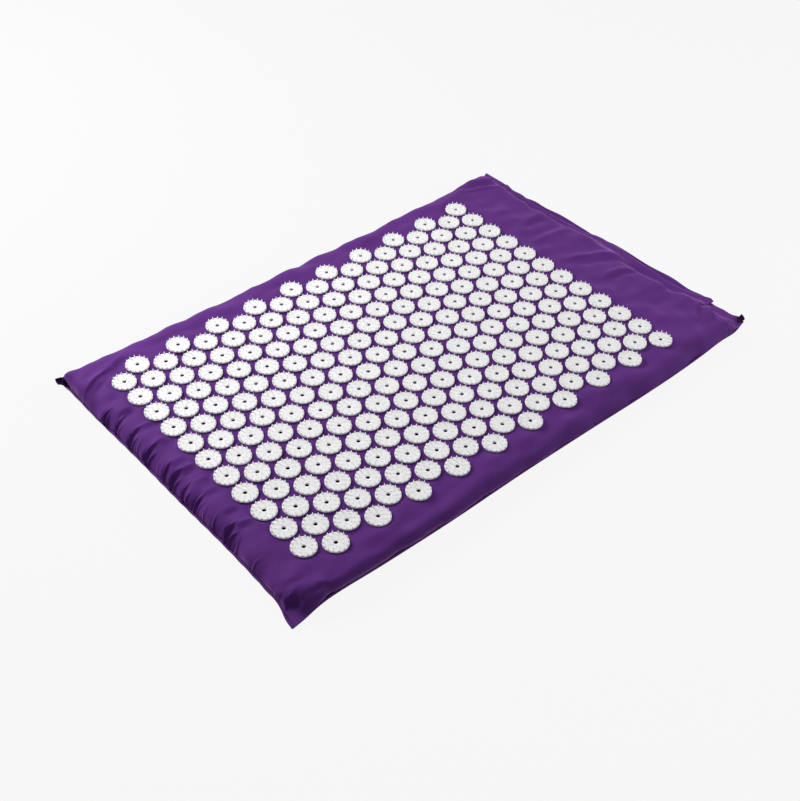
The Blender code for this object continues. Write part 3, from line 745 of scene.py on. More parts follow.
@dataclass
class CoverShape:
    """The form of the cover: where its cloths lie over the foam pad and how they fold.

    The powers are read by place, in millimetres. The places in tight_lip and tight_fall are thousandths of
    the way from the lip's fold to its hem.
    """

    outline: Outline = field(default_factory=Outline)
    corner_forms: tuple[CornerForm, ...] = (CornerForm(-325, -203, 2.0, 3.6, 9.0, 32.0),
                                            CornerForm(-322, 203, 5.0, 5.0, 0.0))
    end_powers: Points = ((-205, 2.6), (-110, 2.6), (-60, 2.3), (0, 2.0), (60, 2.0), (110, 2.0), (150, 2.2),
                          (185, 3.0), (205, 3.6))
    near_powers: Points = ((-330, 4.6), (-200, 4.0), (-100, 3.0), (0, 2.3), (100, 1.8), (200, 1.7),
                           (340, 1.9))
    least_height: float = 0.0014
    side_power: float = 2.6
    line_power: float = 2.2
    foam_edge_radius: float = 0.009
    fold_inset: float = 0.004
    flange_width: float = 0.0027
    flange_tucked: float = 0.0015
    tuck_start: float = 0.105
    tuck_run: float = 0.030
    groove_height: float = 0.0040
    groove_run: float = 0.030
    side_seam_height: float = 0.0068
    seam_fall: float = 0.045
    open_seam_fall: float = 0.070
    low_foot: float = 0.0026
    shoulder_start: float = 0.009
    shoulder_width: float = 0.0098
    steepest_share: float = 0.99
    ear_share: float = 0.75
    under_gap: float = 0.0016
    under_roll_share: float = 0.8
    hem_curl: float = 0.0012
    hem_curl_start: float = 0.86
    lip_height: float = 0.0043
    lip_settle_share: float = 0.8
    lip_gape: float = 0.0030
    lip_far_extra: float = 0.006
    lip_near_extra: float = 0.0045
    tight_lip: Points = ((0, 0), (150, 2.4), (320, 5.4), (480, 8.4), (620, 14.0))
    tight_fall: Points = ((0, 17.5), (150, 14.0), (320, 9.5), (480, 6.0), (620, 4.3), (1000, 4.2))
    disc_hold: float = 0.0125
    disc_release: float = 0.0055
    wander: float = 0.00042
    wander_rise: float = 0.008
    wave_count: int = 14
    shortest_wave: float = 0.016
    longest_wave: float = 0.055
    seed: int = 11

    def __post_init__(self) -> None:
        """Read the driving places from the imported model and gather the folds."""
        foam_low, foam_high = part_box("foam_core")
        lip_low, lip_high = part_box("closure_flap")
        self.foam_left, self.foam_right = foam_low.x, foam_high.x
        self.flat_near = foam_low.y + self.foam_edge_radius
        self.flat_far = foam_high.y - self.foam_edge_radius
        self.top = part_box(DISC_NODES[0])[0].z
        self.hinge = FRAME["joints"][0]["pos_m"][0]
        self.fold_x = self.hinge - self.fold_inset
        self.lip_near, self.lip_far = lip_low.y - self.lip_near_extra, lip_high.y + self.lip_far_extra
        self.folds = FoldSheet().all()
        for gather in GATHERS:
            self.folds += gather.folds(float(self.left_line(gather.place * MM)) / MM)
        self.discs = [centre for name in DISC_NODES for centre in DiscColumn(name).centres()]

    def left_line(self, y: Array | float) -> Array:
        """Return where the top cloth meets the gathered seam, inside the seam's flange."""
        tucked = smooth((np.asarray(y) - self.tuck_start) / self.tuck_run)
        return curve_through(self.outline.left, y) + mix(self.flange_width, self.flange_tucked, tucked)

    def near_line(self, x: Array | float) -> Array:
        """Return the near seam's place across the mat."""
        return curve_through(self.outline.near, x)

    def far_line(self, x: Array | float) -> Array:
        """Return the far seam's place across the mat."""
        return curve_through(self.outline.far, x)

    def right_line(self, y: Array | float) -> Array:
        """Return the bottom cloth's hem at the open end."""
        return curve_through(self.outline.right, y)

    def hollow(self, y: Array | float) -> Array:
        """Return how closely the lip hugs the foam's edge: 0 where it is closed, 1 between."""
        return clamp(curve_through(self.outline.hollow, y, 1.0))

    def side_seam(self, x: Array, y: Array) -> Array:
        """Return the height of the long sides' seams, which come down at the corners.

        Args:
            x: Places along the mat.
            y: Places across the mat.

        Returns:
            The height at each place.
        """
        from_left = smooth((x - self.left_line(y)) / self.seam_fall)
        from_right = smooth((self.right_line(y) - x) / self.open_seam_fall)
        return self.low_foot + self.side_seam_height * from_left * from_right

    def foot(self, x: Array, y: Array) -> Array:
        """Return the height of the top cloth's sewn edges."""
        away = smooth((x - self.left_line(y)) / self.groove_run)
        return mix(self.groove_height, self.side_seam(x, y), away)

    def mat_height(self, x: Array, y: Array) -> Array:
        """Return the height of the unfolded top cloth, up to the lip's fold.

        Args:
            x: Places along the mat.
            y: Places across the mat.

        Returns:
            The outer face's height at each place.
        """
        left, near, far = self.left_line(y), self.near_line(x), self.far_line(x)
        end = clamp((x - left) / (self.foam_left - left))
        from_near, from_far = (y - near) / (self.flat_near - near), (far - y) / (far - self.flat_far)
        side = clamp(np.minimum(from_near, from_far))
        end_power = curve_through(self.end_powers, y, 1.0)
        side_power = np.where(from_near < from_far, curve_through(self.near_powers, x, 1.0), self.side_power)
        sag = 0.0
        for form in self.corner_forms:
            close = form.nearness(x, y)
            end_power = mix(end_power, form.end_power, close)
            side_power = mix(side_power, form.side_power, close)
            sag = sag + close * form.sag
        rise = rolled(end, end_power) * rolled(side, side_power)
        rise = rise ** (1.0 + sag * (1.0 - end) * (1.0 - side))
        return mix(self.foot(x, y), self.top - self.shoulder(x, y), rise)

    def shoulder(self, x: Array, y: Array) -> Array:
        """Return how far the cloth comes down where it hugs the foam's edge at the open end.

        Args:
            x: Places along the mat.
            y: Places across the mat.

        Returns:
            The fall at each place.
        """
        run = clamp((x - self.foam_right + self.shoulder_start) / self.shoulder_width)
        fall = 1.0 - np.sqrt(1.0 - np.minimum(run, self.steepest_share) ** 2)
        return self.hollow(y) * self.foam_edge_radius * fall

    def plan(self, grid: Grid, opening_edge: Callable[[Array], Array]) -> tuple[Array, Array]:
        """Place a grid's crossings in plan.

        Args:
            grid: The grid.
            opening_edge: The cloth's edge at the open end, by Y.

        Returns:
            Arrays of X and Y, with one row for each line across.
        """
        y = np.broadcast_to(grid.across[:, None], (len(grid.across), len(grid.place)))
        end, opening, place = grid.spread(grid.end), grid.spread(grid.opening), grid.spread(grid.place)
        x = np.where(end < 1.0, mix(self.left_line(y), self.foam_left, end), place)
        x = np.where(opening > 0.0, mix(self.fold_x, opening_edge(y), opening), x)
        low, high = grid.low[:, None], grid.high[:, None]
        y = np.where(low < 1.0, mix(self.near_line(x), self.flat_near, low), y)
        y = np.where(high < 1.0, mix(self.far_line(x), self.flat_far, high), y)
        return x, y

    def corner_cloth(self, grid: Grid) -> Array:
        """Place the unfolded top cloth with flat corners past the lip's fold.

        Args:
            grid: The cloth's grid.

        Returns:
            The points of its outer face.
        """
        x, y = self.plan(grid, self.right_line)
        opening = grid.spread(grid.opening)
        height = self.mat_height(np.minimum(x, self.fold_x), y)
        height = mix(self.foot(x, y), height, smooth(1.0 - opening / self.ear_share))
        return np.stack([x, y, height], axis=-1)

    def lip_cloth(self, grid: Grid) -> Array:
        """Place the unfolded top cloth with the closing lip past its fold.

        Args:
            grid: The cloth's grid.

        Returns:
            The points of its outer face.
        """
        x, y = self.plan(grid, lambda place: curve_through(self.outline.lip, place))
        opening = grid.spread(grid.opening)
        height = self.mat_height(np.minimum(x, self.fold_x), y)
        edge = curve_through(self.outline.lip, y)
        slack = mix(height, self.lip_height, smooth(opening / self.lip_settle_share))
        tight_x = self.fold_x + curve_through(self.tight_lip, opening)
        last, reach = (value * MM for value in self.tight_lip[-1])
        outer = clamp((opening - last) / (1.0 - last))
        tight_x = np.where(opening > last, mix(self.fold_x + reach, edge, outer), tight_x)
        tight = curve_through(self.tight_fall, opening) + self.lip_gape * smooth(outer)
        hug = self.hollow(y) * np.where(opening > 0.0, 1.0, 0.0)
        x = mix(x, tight_x, hug)
        height = mix(slack, tight, hug)
        return np.stack([x, y, height], axis=-1)

    def under_cloth(self, grid: Grid) -> Array:
        """Place the bottom cloth: flat on the floor and lifted to the seams along its sewn edges.

        Args:
            grid: The cloth's grid.

        Returns:
            The points of its outer face.
        """
        x, y = self.plan(grid, self.right_line)
        end = grid.spread(grid.end) / self.under_roll_share
        side = np.minimum(grid.low, grid.high)[:, None] / self.under_roll_share
        to_side = (self.foot(x, y) - self.under_gap) * (1.0 - rolled(side, self.side_power))
        to_end = (self.groove_height - self.under_gap) * (1.0 - rolled(end, self.side_power))
        hem = (grid.spread(grid.opening) - self.hem_curl_start) / (1.0 - self.hem_curl_start)
        curl = self.hem_curl * smooth(hem)
        height = np.maximum(np.maximum(to_side, to_end), curl)
        return np.stack([x, y, height], axis=-1)

    def calm(self, x: Array, y: Array) -> Array:
        """Tell where the discs hold the cloth flat.

        Args:
            x: Places along the mat.
            y: Places across the mat.

        Returns:
            0 under the discs and 1 away from them.
        """
        nearest = np.full(x.shape, np.inf)
        for centre_x, centre_y in self.discs:
            nearest = np.minimum(nearest, np.hypot(x - centre_x, y - centre_y))
        return smooth((nearest - self.disc_hold) / self.disc_release)

    def unevenness(self, x: Array, y: Array) -> Array:
        """Let the loose cloth wander softly, by a sum of seeded waves.

        Args:
            x: Places along the mat.
            y: Places across the mat.

        Returns:
            The lift at each place.
        """
        chance = np.random.default_rng(self.seed)
        total = np.zeros(x.shape)
        for _ in range(self.wave_count):
            turn, phase = chance.uniform(0.0, math.tau, 2)
            length = chance.uniform(self.shortest_wave, self.longest_wave)
            wave = (x * math.cos(turn) + y * math.sin(turn)) * math.tau / length + phase
            total += np.sin(wave) * length / self.longest_wave
        return self.wander * total

    def folded(self, base: Array) -> Array:
        """Move a cloth out along its normals by its folds.

        Args:
            base: Points of the unfolded cloth.

        Returns:
            Points of the folded cloth, none of them below its least height.
        """
        points = base + normals_of(base) * self.lift(base[..., 0], base[..., 1], base[..., 2])[..., None]
        points[..., 2] = np.maximum(points[..., 2], self.least_height)
        return points

    def lift(self, x: Array, y: Array, height: Array) -> Array:
        """Add up how far the cloth's folds move it out.

        Args:
            x: Places of the unfolded cloth along the mat.
            y: Its places across the mat.
            height: Its heights there.

        Returns:
            The lift at each place.
        """
        total = self.unevenness(x, y) * smooth((height - self.low_foot) / self.wander_rise)
        for fold in self.folds:
            total = total + fold.lift(x, y)
        return total * self.calm(x, y)


def normals_of(points: Array) -> Array:
    """Find the upward normals of a grid of points.

    Args:
        points: The grid's points.

    Returns:
        A unit normal for each point.
    """
    normal = np.cross(np.gradient(points, axis=1), np.gradient(points, axis=0))
    return normal / np.maximum(np.linalg.norm(normal, axis=-1, keepdims=True), LEAST_NORMAL)


@dataclass(frozen=True)
class Zone:
    """A run of grid columns and the rows that it keeps."""

    first: int
    last: int
    rows: Array

    def cells(self, before: Array, after: Array, keep: Callable[[int, int], bool]) -> Cells:
        """List the zone's cells, with the neighbouring zones' rows as extra corners.

        Args:
            before: The rows of the zone before this one.
            after: The rows of the zone after it.
            keep: Whether a cell is kept, by its row and column.

        Returns:
            The corners of each cell, as rows and columns.
        """
        cells = []
        for low, high in zip(self.rows[:-1], self.rows[1:]):
            left = [(row, self.first) for row in before[::-1] if low < row < high]
            right = [(row, self.last) for row in after if low < row < high]
            for column in range(self.first, self.last):
                if not keep(low, column):
                    continue
                cell = [(low, column), (low, column + 1)]
                cell += right if column + 1 == self.last else []
                cell += [(high, column + 1), (high, column)]
                cell += left if column == self.first else []
                cells.append(cell)
        return cells


def zone_cells(zones: Sequence[Zone], keep: Callable[[int, int], bool]) -> Cells:
    """List the cells of neighbouring zones.

    Args:
        zones: The zones, in order along the mat.
        keep: Whether a cell is kept, by its row and column.

    Returns:
        The corners of each cell, as rows and columns.
    """
    cells = []
    for number, zone in enumerate(zones):
        before = zones[number - 1].rows if number else zone.rows
        after = zones[number + 1].rows if number + 1 < len(zones) else zone.rows
        cells += zone.cells(before, after, keep)
    return cells


def sheet_mesh(name: str, points: Array, cells: Cells | None = None, upward: bool = True) -> bpy.types.Mesh:
    """Make a mesh from a grid of points, with a cut map in metres.

    Args:
        name: The mesh's name.
        points: The grid's points, one row for each line across.
        cells: The corners of each kept cell, or None for all of the grid's.
        upward: Whether the outer face is the upper one.

    Returns:
        The mesh.
    """
    rows, columns = points.shape[:2]
    if cells is None:
        cells = zone_cells([Zone(0, columns - 1, np.arange(rows))], lambda row, column: True)
    run = np.linalg.norm(np.diff(points, axis=1), axis=-1)
    across = np.concatenate([np.zeros((rows, 1)), np.cumsum(run, axis=1)], axis=1)
    run = np.linalg.norm(np.diff(points, axis=0), axis=-1)
    up = np.concatenate([np.zeros((1, columns)), np.cumsum(run, axis=0)], axis=0)
    number: dict[tuple[int, int], int] = {}
    faces = []
    for cell in cells:
        face = [number.setdefault(corner, len(number)) for corner in cell]
        faces.append(face if upward else face[::-1])
    at = np.array(list(number))
    mesh = bpy.data.meshes.new(name)
    mesh.from_pydata(points[at[:, 0], at[:, 1]].tolist(), [], faces)
    cut = np.stack([across, up], axis=-1)[at[:, 0], at[:, 1]]
    layer = mesh.uv_layers.new(name=CUT_MAP)
    corners_at = np.concatenate(faces)
    layer.data.foreach_set("uv", cut[corners_at].astype(np.float32).ravel())
    mesh.shade_smooth()
    return mesh


def add_piece(name: str, mesh: bpy.types.Mesh,
              material: bpy.types.Material | None = None) -> bpy.types.Object:
    """Link a mesh as a named piece at the origin.

    Args:
        name: The piece's name.
        mesh: Its mesh.
        material: Its material, if it isn't given one later.

    Returns:
        The piece.
    """
    if material is not None:
        mesh.materials.append(material)
    piece = bpy.data.objects.new(name, mesh)
    bpy.context.scene.collection.objects.link(piece)
    return piece


def thicken(piece: bpy.types.Object, thickness: float) -> None:
    """Give a sheet its cloth thickness, inwards from its outer face, and apply it.

    Args:
        piece: The sheet.
        thickness: How thick it gets.
    """
    solid = piece.modifiers.new("cloth", "SOLIDIFY")
    solid.thickness = thickness
    solid.offset = -1.0
    apply_modifiers(piece)


def apply_modifiers(piece: bpy.types.Object) -> None:
    """Turn a piece's evaluated form into its own plain mesh.

    Args:
        piece: The piece, whose modifiers are then removed.
    """
    bpy.context.view_layer.update()
    graph = bpy.context.evaluated_depsgraph_get()
    mesh = bpy.data.meshes.new_from_object(piece.evaluated_get(graph))
    piece.modifiers.clear()
    piece.data = mesh


def run_tree(name: str, source: bpy.types.Mesh, tree: bpy.types.NodeTree, values: dict) -> bpy.types.Object:
    """Run a Geometry Nodes tree on a mesh and keep the result as a plain piece.

    Args:
        name: The piece's name.
        source: The mesh that the tree starts from.
        tree: The tree.
        values: Values of its named inputs.

    Returns:
        The piece, without its modifier.
    """
    piece = add_piece(name, source)
    modifier = piece.modifiers.new("repeat", "NODES")
    modifier.node_group = tree
    for item in tree.interface.items_tree:
        if item.item_type == "SOCKET" and item.in_out == "INPUT" and item.name in values:
            modifier[item.identifier] = values[item.name]
    apply_modifiers(piece)
    return piece


def points_mesh(name: str, points: Sequence[Vector]) -> bpy.types.Mesh:
    """Make a mesh of loose points.

    Args:
        name: Its name.
        points: The points.

    Returns:
        The mesh.
    """
    mesh = bpy.data.meshes.new(name)
    mesh.from_pydata([tuple(point) for point in points], [], [])
    return mesh


def path_mesh(name: str, points: Array) -> bpy.types.Mesh:
    """Make a mesh of one open line.

    Args:
        name: Its name.
        points: The points that the line joins.

    Returns:
        The mesh.
    """
    mesh = bpy.data.meshes.new(name)
    edges = [(step, step + 1) for step in range(len(points) - 1)]
    mesh.from_pydata([tuple(point) for point in points], edges, [])
    return mesh


def settle(piece: bpy.types.Object, body: str, slot: Slot, *nodes: str) -> None:
    """Let a finished piece ride on its body and stand for its nodes."""
    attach(piece, body)
    finish_piece(piece, slot, *nodes)


def finish_piece(piece: bpy.types.Object, slot: Slot, *nodes: str) -> None:
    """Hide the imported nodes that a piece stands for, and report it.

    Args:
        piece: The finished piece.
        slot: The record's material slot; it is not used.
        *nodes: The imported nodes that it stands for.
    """
    if nodes:
        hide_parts(*nodes)
    LOG.info("%s: %d faces", piece.name, len(piece.data.polygons))


@dataclass
class DiscColumn:
    """One packed column of discs and where its discs stand."""

    node: str
    pitch: float = 0.030
    diameter: float = 0.0264

    def centres(self) -> list[tuple[float, float]]:
        """Find the column's discs.

        Returns:
            Their centres in plan.
        """
        low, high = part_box(self.node)
        count = 1 + round((high.y - low.y - self.diameter) / self.pitch)
        first = (low.y + high.y - (count - 1) * self.pitch) / 2
        return [((low.x + high.x) / 2, first + step * self.pitch) for step in range(count)]


@dataclass(frozen=True)
class SpikeRing:
    """One ring of spikes on a disc."""

    count: int
    radius: float
    height: float
    foot: float


@dataclass
class SpikeDiscs:
    """The white discs, each a thin turned plate with a hole and three rings of pointed spikes."""

    segments: int = 28
    foot_radius: float = 0.0117
    radius: float = 0.0130
    lip_height: float = 0.0009
    side_height: float = 0.0017
    plate_height: float = 0.0023
    edge_inset: float = 0.0005
    dish: float = 0.0002
    # The near-black disc set in each hole is painted shade for the dark seen down the hole.
    hole_radius: float = 0.0023
    hole_shade_radius: float = 0.0027
    hole_shade_height: float = 0.0002
    hole_shade_sides: int = 12
    spike_tip: float = 0.00014
    spike_sides: int = 6
    rings: tuple[SpikeRing, ...] = (SpikeRing(14, 0.0121, 0.0031, 0.00092),
                                    SpikeRing(8, 0.0080, 0.0020, 0.00048),
                                    SpikeRing(5, 0.0047, 0.0018, 0.00044))
    tilt: float = 0.012
    sharp_degrees: float = 38.0
    seed: int = 5

    def plate(self) -> bpy.types.Mesh:
        """Turn the plate's profile round its axis.

        Returns:
            A closed ring: undercut foot, side, rounded edge, dished face and hole.
        """
        profile = [(self.foot_radius, 0.0), (self.radius, self.lip_height), (self.radius, self.side_height),
                   (self.radius - self.edge_inset, self.plate_height),
                   (self.hole_radius, self.plate_height - self.dish), (self.hole_radius, 0.0)]
        bm = bmesh.new()
        verts = [bm.verts.new((radius, 0.0, height)) for radius, height in profile]
        edges = [bm.edges.new((verts[step], verts[(step + 1) % len(verts)])) for step in range(len(verts))]
        bmesh.ops.spin(bm, geom=verts + edges, cent=(0, 0, 0), axis=(0, 0, 1), angle=math.tau,
                       steps=self.segments, use_merge=True)
        bmesh.ops.remove_doubles(bm, verts=bm.verts, dist=MERGE_DISTANCE)
        bmesh.ops.recalc_face_normals(bm, faces=bm.faces)
        mesh = bpy.data.meshes.new("disc plate")
        bm.to_mesh(mesh)
        bm.free()
        return mesh

    def tree(self) -> bpy.types.NodeTree:
        """Build the tree that sets a whole disc, with its spikes, on every point.

        Returns:
            The tree.
        """
        inputs = {"Geometry": "NodeSocketGeometry", "Plate": "NodeSocketObject",
                  "Spike Tip": "NodeSocketFloat", "Spike Sides": "NodeSocketInt",
                  "Plate Height": "NodeSocketFloat", "Tilt": "NodeSocketFloat", "Seed": "NodeSocketInt",
                  "Backing Radius": "NodeSocketFloat", "Backing Height": "NodeSocketFloat",
                  "Finish": "NodeSocketMaterial", "Backing Finish": "NodeSocketMaterial"}
        for number in range(1, len(self.rings) + 1):
            inputs[f"Ring {number} Count"] = "NodeSocketInt"
            for size in ("Radius", "Height", "Foot"):
                inputs[f"Ring {number} {size}"] = "NodeSocketFloat"
        tree, sketch, given, result = new_group("spike discs", "GeometryNodeTree", inputs,
                                                {"Geometry": "NodeSocketGeometry"})
        value = given.outputs
        plate = sketch.add("GeometryNodeObjectInfo", {"Object": value["Plate"]}, transform_space="ORIGINAL")
        whole = sketch.add("GeometryNodeJoinGeometry", {0: plate.outputs["Geometry"]})
        lift = sketch.add("ShaderNodeCombineXYZ", {"Z": value["Plate Height"]})
        for number in range(1, len(self.rings) + 1):
            spike = sketch.add("GeometryNodeMeshCone", {"Vertices": value["Spike Sides"],
                                                        "Radius Top": value["Spike Tip"],
                                                        "Radius Bottom": value[f"Ring {number} Foot"],
                                                        "Depth": value[f"Ring {number} Height"]})
            ring = sketch.add("GeometryNodeMeshCircle", {"Vertices": value[f"Ring {number} Count"],
                                                         "Radius": value[f"Ring {number} Radius"]})
            raised = sketch.add("GeometryNodeTransform", {"Geometry": ring.outputs[0],
                                                          "Translation": lift.outputs[0]})
            spread = sketch.add("GeometryNodeInstanceOnPoints", {"Points": raised.outputs[0],
                                                                 "Instance": spike.outputs["Mesh"]})
            sketch.fill(whole, {0: spread.outputs[0]})
        # A near-black disc low in each hole, marked for its own material: painted shade for the dark hole.
        low = sketch.add("ShaderNodeCombineXYZ", {"Z": value["Backing Height"]})
        shade_disc = sketch.add("GeometryNodeMeshCylinder", {"Vertices": self.hole_shade_sides,
                                                       "Radius": value["Backing Radius"],
                                                       "Depth": value["Backing Height"]})
        marked = sketch.add("GeometryNodeCaptureAttribute", domain="FACE")
        marked.capture_items.new("BOOLEAN", "Stud")
        sketch.fill(marked, {"Geometry": shade_disc.outputs["Mesh"], "Stud": True})
        seated = sketch.add("GeometryNodeTransform", {"Geometry": marked.outputs["Geometry"],
                                                      "Translation": low.outputs[0]})
        sketch.fill(whole, {0: seated.outputs[0]})
        back = sketch.math("MULTIPLY", value["Tilt"], -1.0)
        low = sketch.add("ShaderNodeCombineXYZ", {"X": back, "Y": back})
        high = sketch.add("ShaderNodeCombineXYZ", {"X": value["Tilt"], "Y": value["Tilt"], "Z": math.tau})
        turn = sketch.add("FunctionNodeRandomValue", {"Min": low.outputs[0], "Max": high.outputs[0],
                                                      "Seed": value["Seed"]}, data_type="FLOAT_VECTOR")
        placed = sketch.add("GeometryNodeInstanceOnPoints", {"Points": value["Geometry"],
                                                             "Instance": whole.outputs[0],
                                                             "Rotation": turn.outputs[0]})
        white = painted(sketch, placed.outputs[0], value["Finish"])
        dark = sketch.add("GeometryNodeSetMaterial", {"Geometry": white, "Selection": marked.outputs["Stud"],
                                                      "Material": value["Backing Finish"]})
        sketch.fill(result, {0: dark.outputs[0]})
        return tree

    def build(self, finish: bpy.types.Material, hole_shade: bpy.types.Material) -> None:
        """Set the discs of every column on the cloth.

        Args:
            finish: The plastic's material.
            hole_shade: The near-black material of the disc set in each hole, painted shade for the dark hole.
        """
        plate = add_piece("disc_plate_pattern", self.plate())
        tree = self.tree()
        values = {"Plate": plate, "Spike Tip": self.spike_tip, "Spike Sides": self.spike_sides,
                  "Plate Height": self.plate_height - self.dish, "Tilt": self.tilt, "Finish": finish,
                  "Backing Radius": self.hole_shade_radius, "Backing Height": self.hole_shade_height,
                  "Backing Finish": hole_shade}
        for number, ring in enumerate(self.rings, start=1):
            values[f"Ring {number} Count"] = ring.count
            values[f"Ring {number} Radius"] = ring.radius
            values[f"Ring {number} Height"] = ring.height
            values[f"Ring {number} Foot"] = ring.foot
        for number, node in enumerate(DISC_NODES):
            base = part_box(node)[0].z
            points = [Vector((x, y, base)) for x, y in DiscColumn(node).centres()]
            values["Seed"] = self.seed + number
            piece = run_tree(f"spike_{node}", points_mesh(node, points), tree, values)
            piece.data.shade_smooth()
            piece.data.set_sharp_from_angle(angle=math.radians(self.sharp_degrees))
            settle(piece, MAT_BODY, Slot.PLASTIC, node)
        bpy.data.objects.remove(plate, do_unlink=True)


def painted(sketch: Sketch, copies: bpy.types.NodeSocket,
            finish: bpy.types.NodeSocket) -> bpy.types.NodeSocket:
    """Make a tree's copies real and give them their material.

    Args:
        sketch: The tree's sketch.
        copies: The placed instances.
        finish: The tree's material input.

    Returns:
        The real, dressed geometry.
    """
    real = sketch.add("GeometryNodeRealizeInstances", {0: copies})
    return sketch.add("GeometryNodeSetMaterial", {"Geometry": real.outputs[0], "Material": finish}).outputs[0]


@dataclass
class Cover:
    """The two cloths of the cover, with the closing lip and the flat corners beside it."""

    shape: CoverShape
    thickness: float = 0.0005
    near_rows: int = 18
    far_rows: int = 14
    end_columns: int = 26
    opening_columns: int = 24
    row_step: float = 0.00082
    fine_step: float = 0.0012
    field_step: float = 0.0062
    margin_step: float = 0.0028
    shoulder_step: float = 0.0014
    fine_end: float = 0.010
    field_end: float = 0.072
    fold_gap: float = 0.0007
    lip_reach: float = 0.033
    field_rows: int = 3
    bare_rows: int = 2

    def grid(self) -> Grid:
        """Lay out the cloth's grid: close at the gathers, wide among the discs.

        Returns:
            The grid.
        """
        shape = self.shape
        start, stop = shape.foam_left, shape.foam_right
        field_end, shoulder = stop - self.field_end, stop - shape.shoulder_start
        flat = np.concatenate([
            np.arange(start + self.fine_step, start + self.fine_end, self.fine_step),
            np.arange(start + self.fine_end + self.field_step, field_end, self.field_step),
            np.arange(field_end, shoulder, self.margin_step),
            np.arange(shoulder, shape.fold_x - self.fold_gap, self.shoulder_step), [shape.fold_x]])
        end = roll_lines(self.end_columns, shape.line_power)
        opening = np.linspace(0.0, 1.0, self.opening_columns + 1)[1:]
        rolls, flats, opened = np.zeros(len(end)), np.ones(len(flat)), np.ones(len(opening))
        across = np.arange(shape.flat_near, shape.flat_far, self.row_step)[1:]
        across[np.argmin(np.abs(across - shape.lip_near))] = shape.lip_near
        low = roll_lines(self.near_rows, shape.side_power)
        high = roll_lines(self.far_rows, shape.side_power)[::-1]
        near_y, far_y = shape.near_line(0.0), shape.far_line(0.0)
        ones = np.ones(len(across))
        return Grid(end=np.concatenate([end, flats, opened]),
                    place=np.concatenate([mix(shape.left_line(0.0), start, end), flat,
                                          mix(shape.fold_x, shape.hinge + self.lip_reach, opening)]),
                    opening=np.concatenate([rolls, 0.0 * flats, opening]),
                    low=np.concatenate([low, ones, np.ones(len(high))]),
                    across=np.concatenate([mix(near_y, shape.flat_near, low), across,
                                           mix(far_y, shape.flat_far, high)]),
                    high=np.concatenate([np.ones(len(low)), ones, high]))

    def zones(self, grid: Grid, lines: tuple[int, int]) -> list[Zone]:
        """Divide the grid into the fine gathers, the coarse disc field and the bare strip.

        Args:
            grid: The cloth's grid.
            lines: The rows that the lip starts and ends at.

        Returns:
            The three zones.
        """
        rows = np.arange(len(grid.across))
        rolls = (grid.low < 1.0) | (grid.high < 1.0)
        edges = np.zeros(len(rows), bool)
        edges[[self.near_rows - 1, len(rows) - self.far_rows, 0, len(rows) - 1]] = True
        field_rows = rows[rolls | edges | (rows % self.field_rows == 0)]
        bare_rows = rows[rolls | edges | (rows % self.bare_rows == 0) | np.isin(rows, lines)]
        fine = int(np.searchsorted(grid.place, self.shape.foam_left + self.fine_end))
        bare = int(np.searchsorted(grid.place, self.shape.foam_right - self.field_end))
        return [Zone(0, fine, rows), Zone(fine, bare, field_rows), Zone(bare, len(grid.place) - 1, bare_rows)]

    def build(self, cloth: bpy.types.Material, lining: bpy.types.Material) -> None:
        """Make the top cloth with its lip, its two open-end corners and the bottom cloth.

        Args:
            cloth: The top cloth's material.
            lining: The bottom cloth's material.
        """
        shape = self.shape
        grid = self.grid()
        fold = int(np.argmax(grid.opening > 0.0)) - 1
        first = int(np.argmin(np.abs(grid.across - shape.lip_near)))
        last = int(np.argmin(np.abs(grid.across - shape.lip_far)))
        last = min(last, len(grid.across) - self.far_rows)
        zones = self.zones(grid, (first, last))
        corner_points = shape.folded(shape.corner_cloth(grid))
        top_points = shape.folded(shape.lip_cloth(grid))
        top_points[:, :fold + 1] = corner_points[:, :fold + 1]
        cells = zone_cells(zones, lambda row, column: column < fold or first <= row < last)
        top = add_piece("cover_top_cloth", sheet_mesh("cover_top_cloth", top_points, cells), cloth)
        thicken(top, self.thickness)
        finish_piece(top, Slot.CLOTH, "cover_top", "closure_flap")
        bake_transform(top)
        corner_cells = zone_cells(zones, lambda row, column: column >= fold and row < first)
        self.corner("near_open_corner", corner_points, corner_cells, cloth)
        corner_cells = zone_cells(zones, lambda row, column: column >= fold and row >= last)
        self.corner("far_open_corner", corner_points, corner_cells, cloth)
        self.bottom(grid, zones, lining)

    def corner(self, name: str, points: Array, cells: Cells, cloth: bpy.types.Material) -> None:
        """Make one flat corner of the cover beside the lip.

        Args:
            name: The corner's name.
            points: The whole cloth's grid.
            cells: The cells that the corner has.
            cloth: Its material.
        """
        piece = add_piece(name, sheet_mesh(name, points, cells), cloth)
        thicken(piece, self.thickness)
        settle(piece, MAT_BODY, Slot.CLOTH)

    def bottom(self, grid: Grid, zones: list[Zone], lining: bpy.types.Material) -> None:
        """Make the bottom cloth, with the disc field's rows all along it.

        Args:
            grid: The top cloth's grid.
            zones: Its zones.
            lining: Its material.
        """
        few = grid.only(zones[1].rows)
        points = self.shape.under_cloth(few)
        mesh = sheet_mesh("cover_bottom_cloth", points, upward=False)
        piece = add_piece("cover_bottom_cloth", mesh, lining)
        thicken(piece, self.thickness)
        settle(piece, MAT_BODY, Slot.LINING, "cover_bottom")


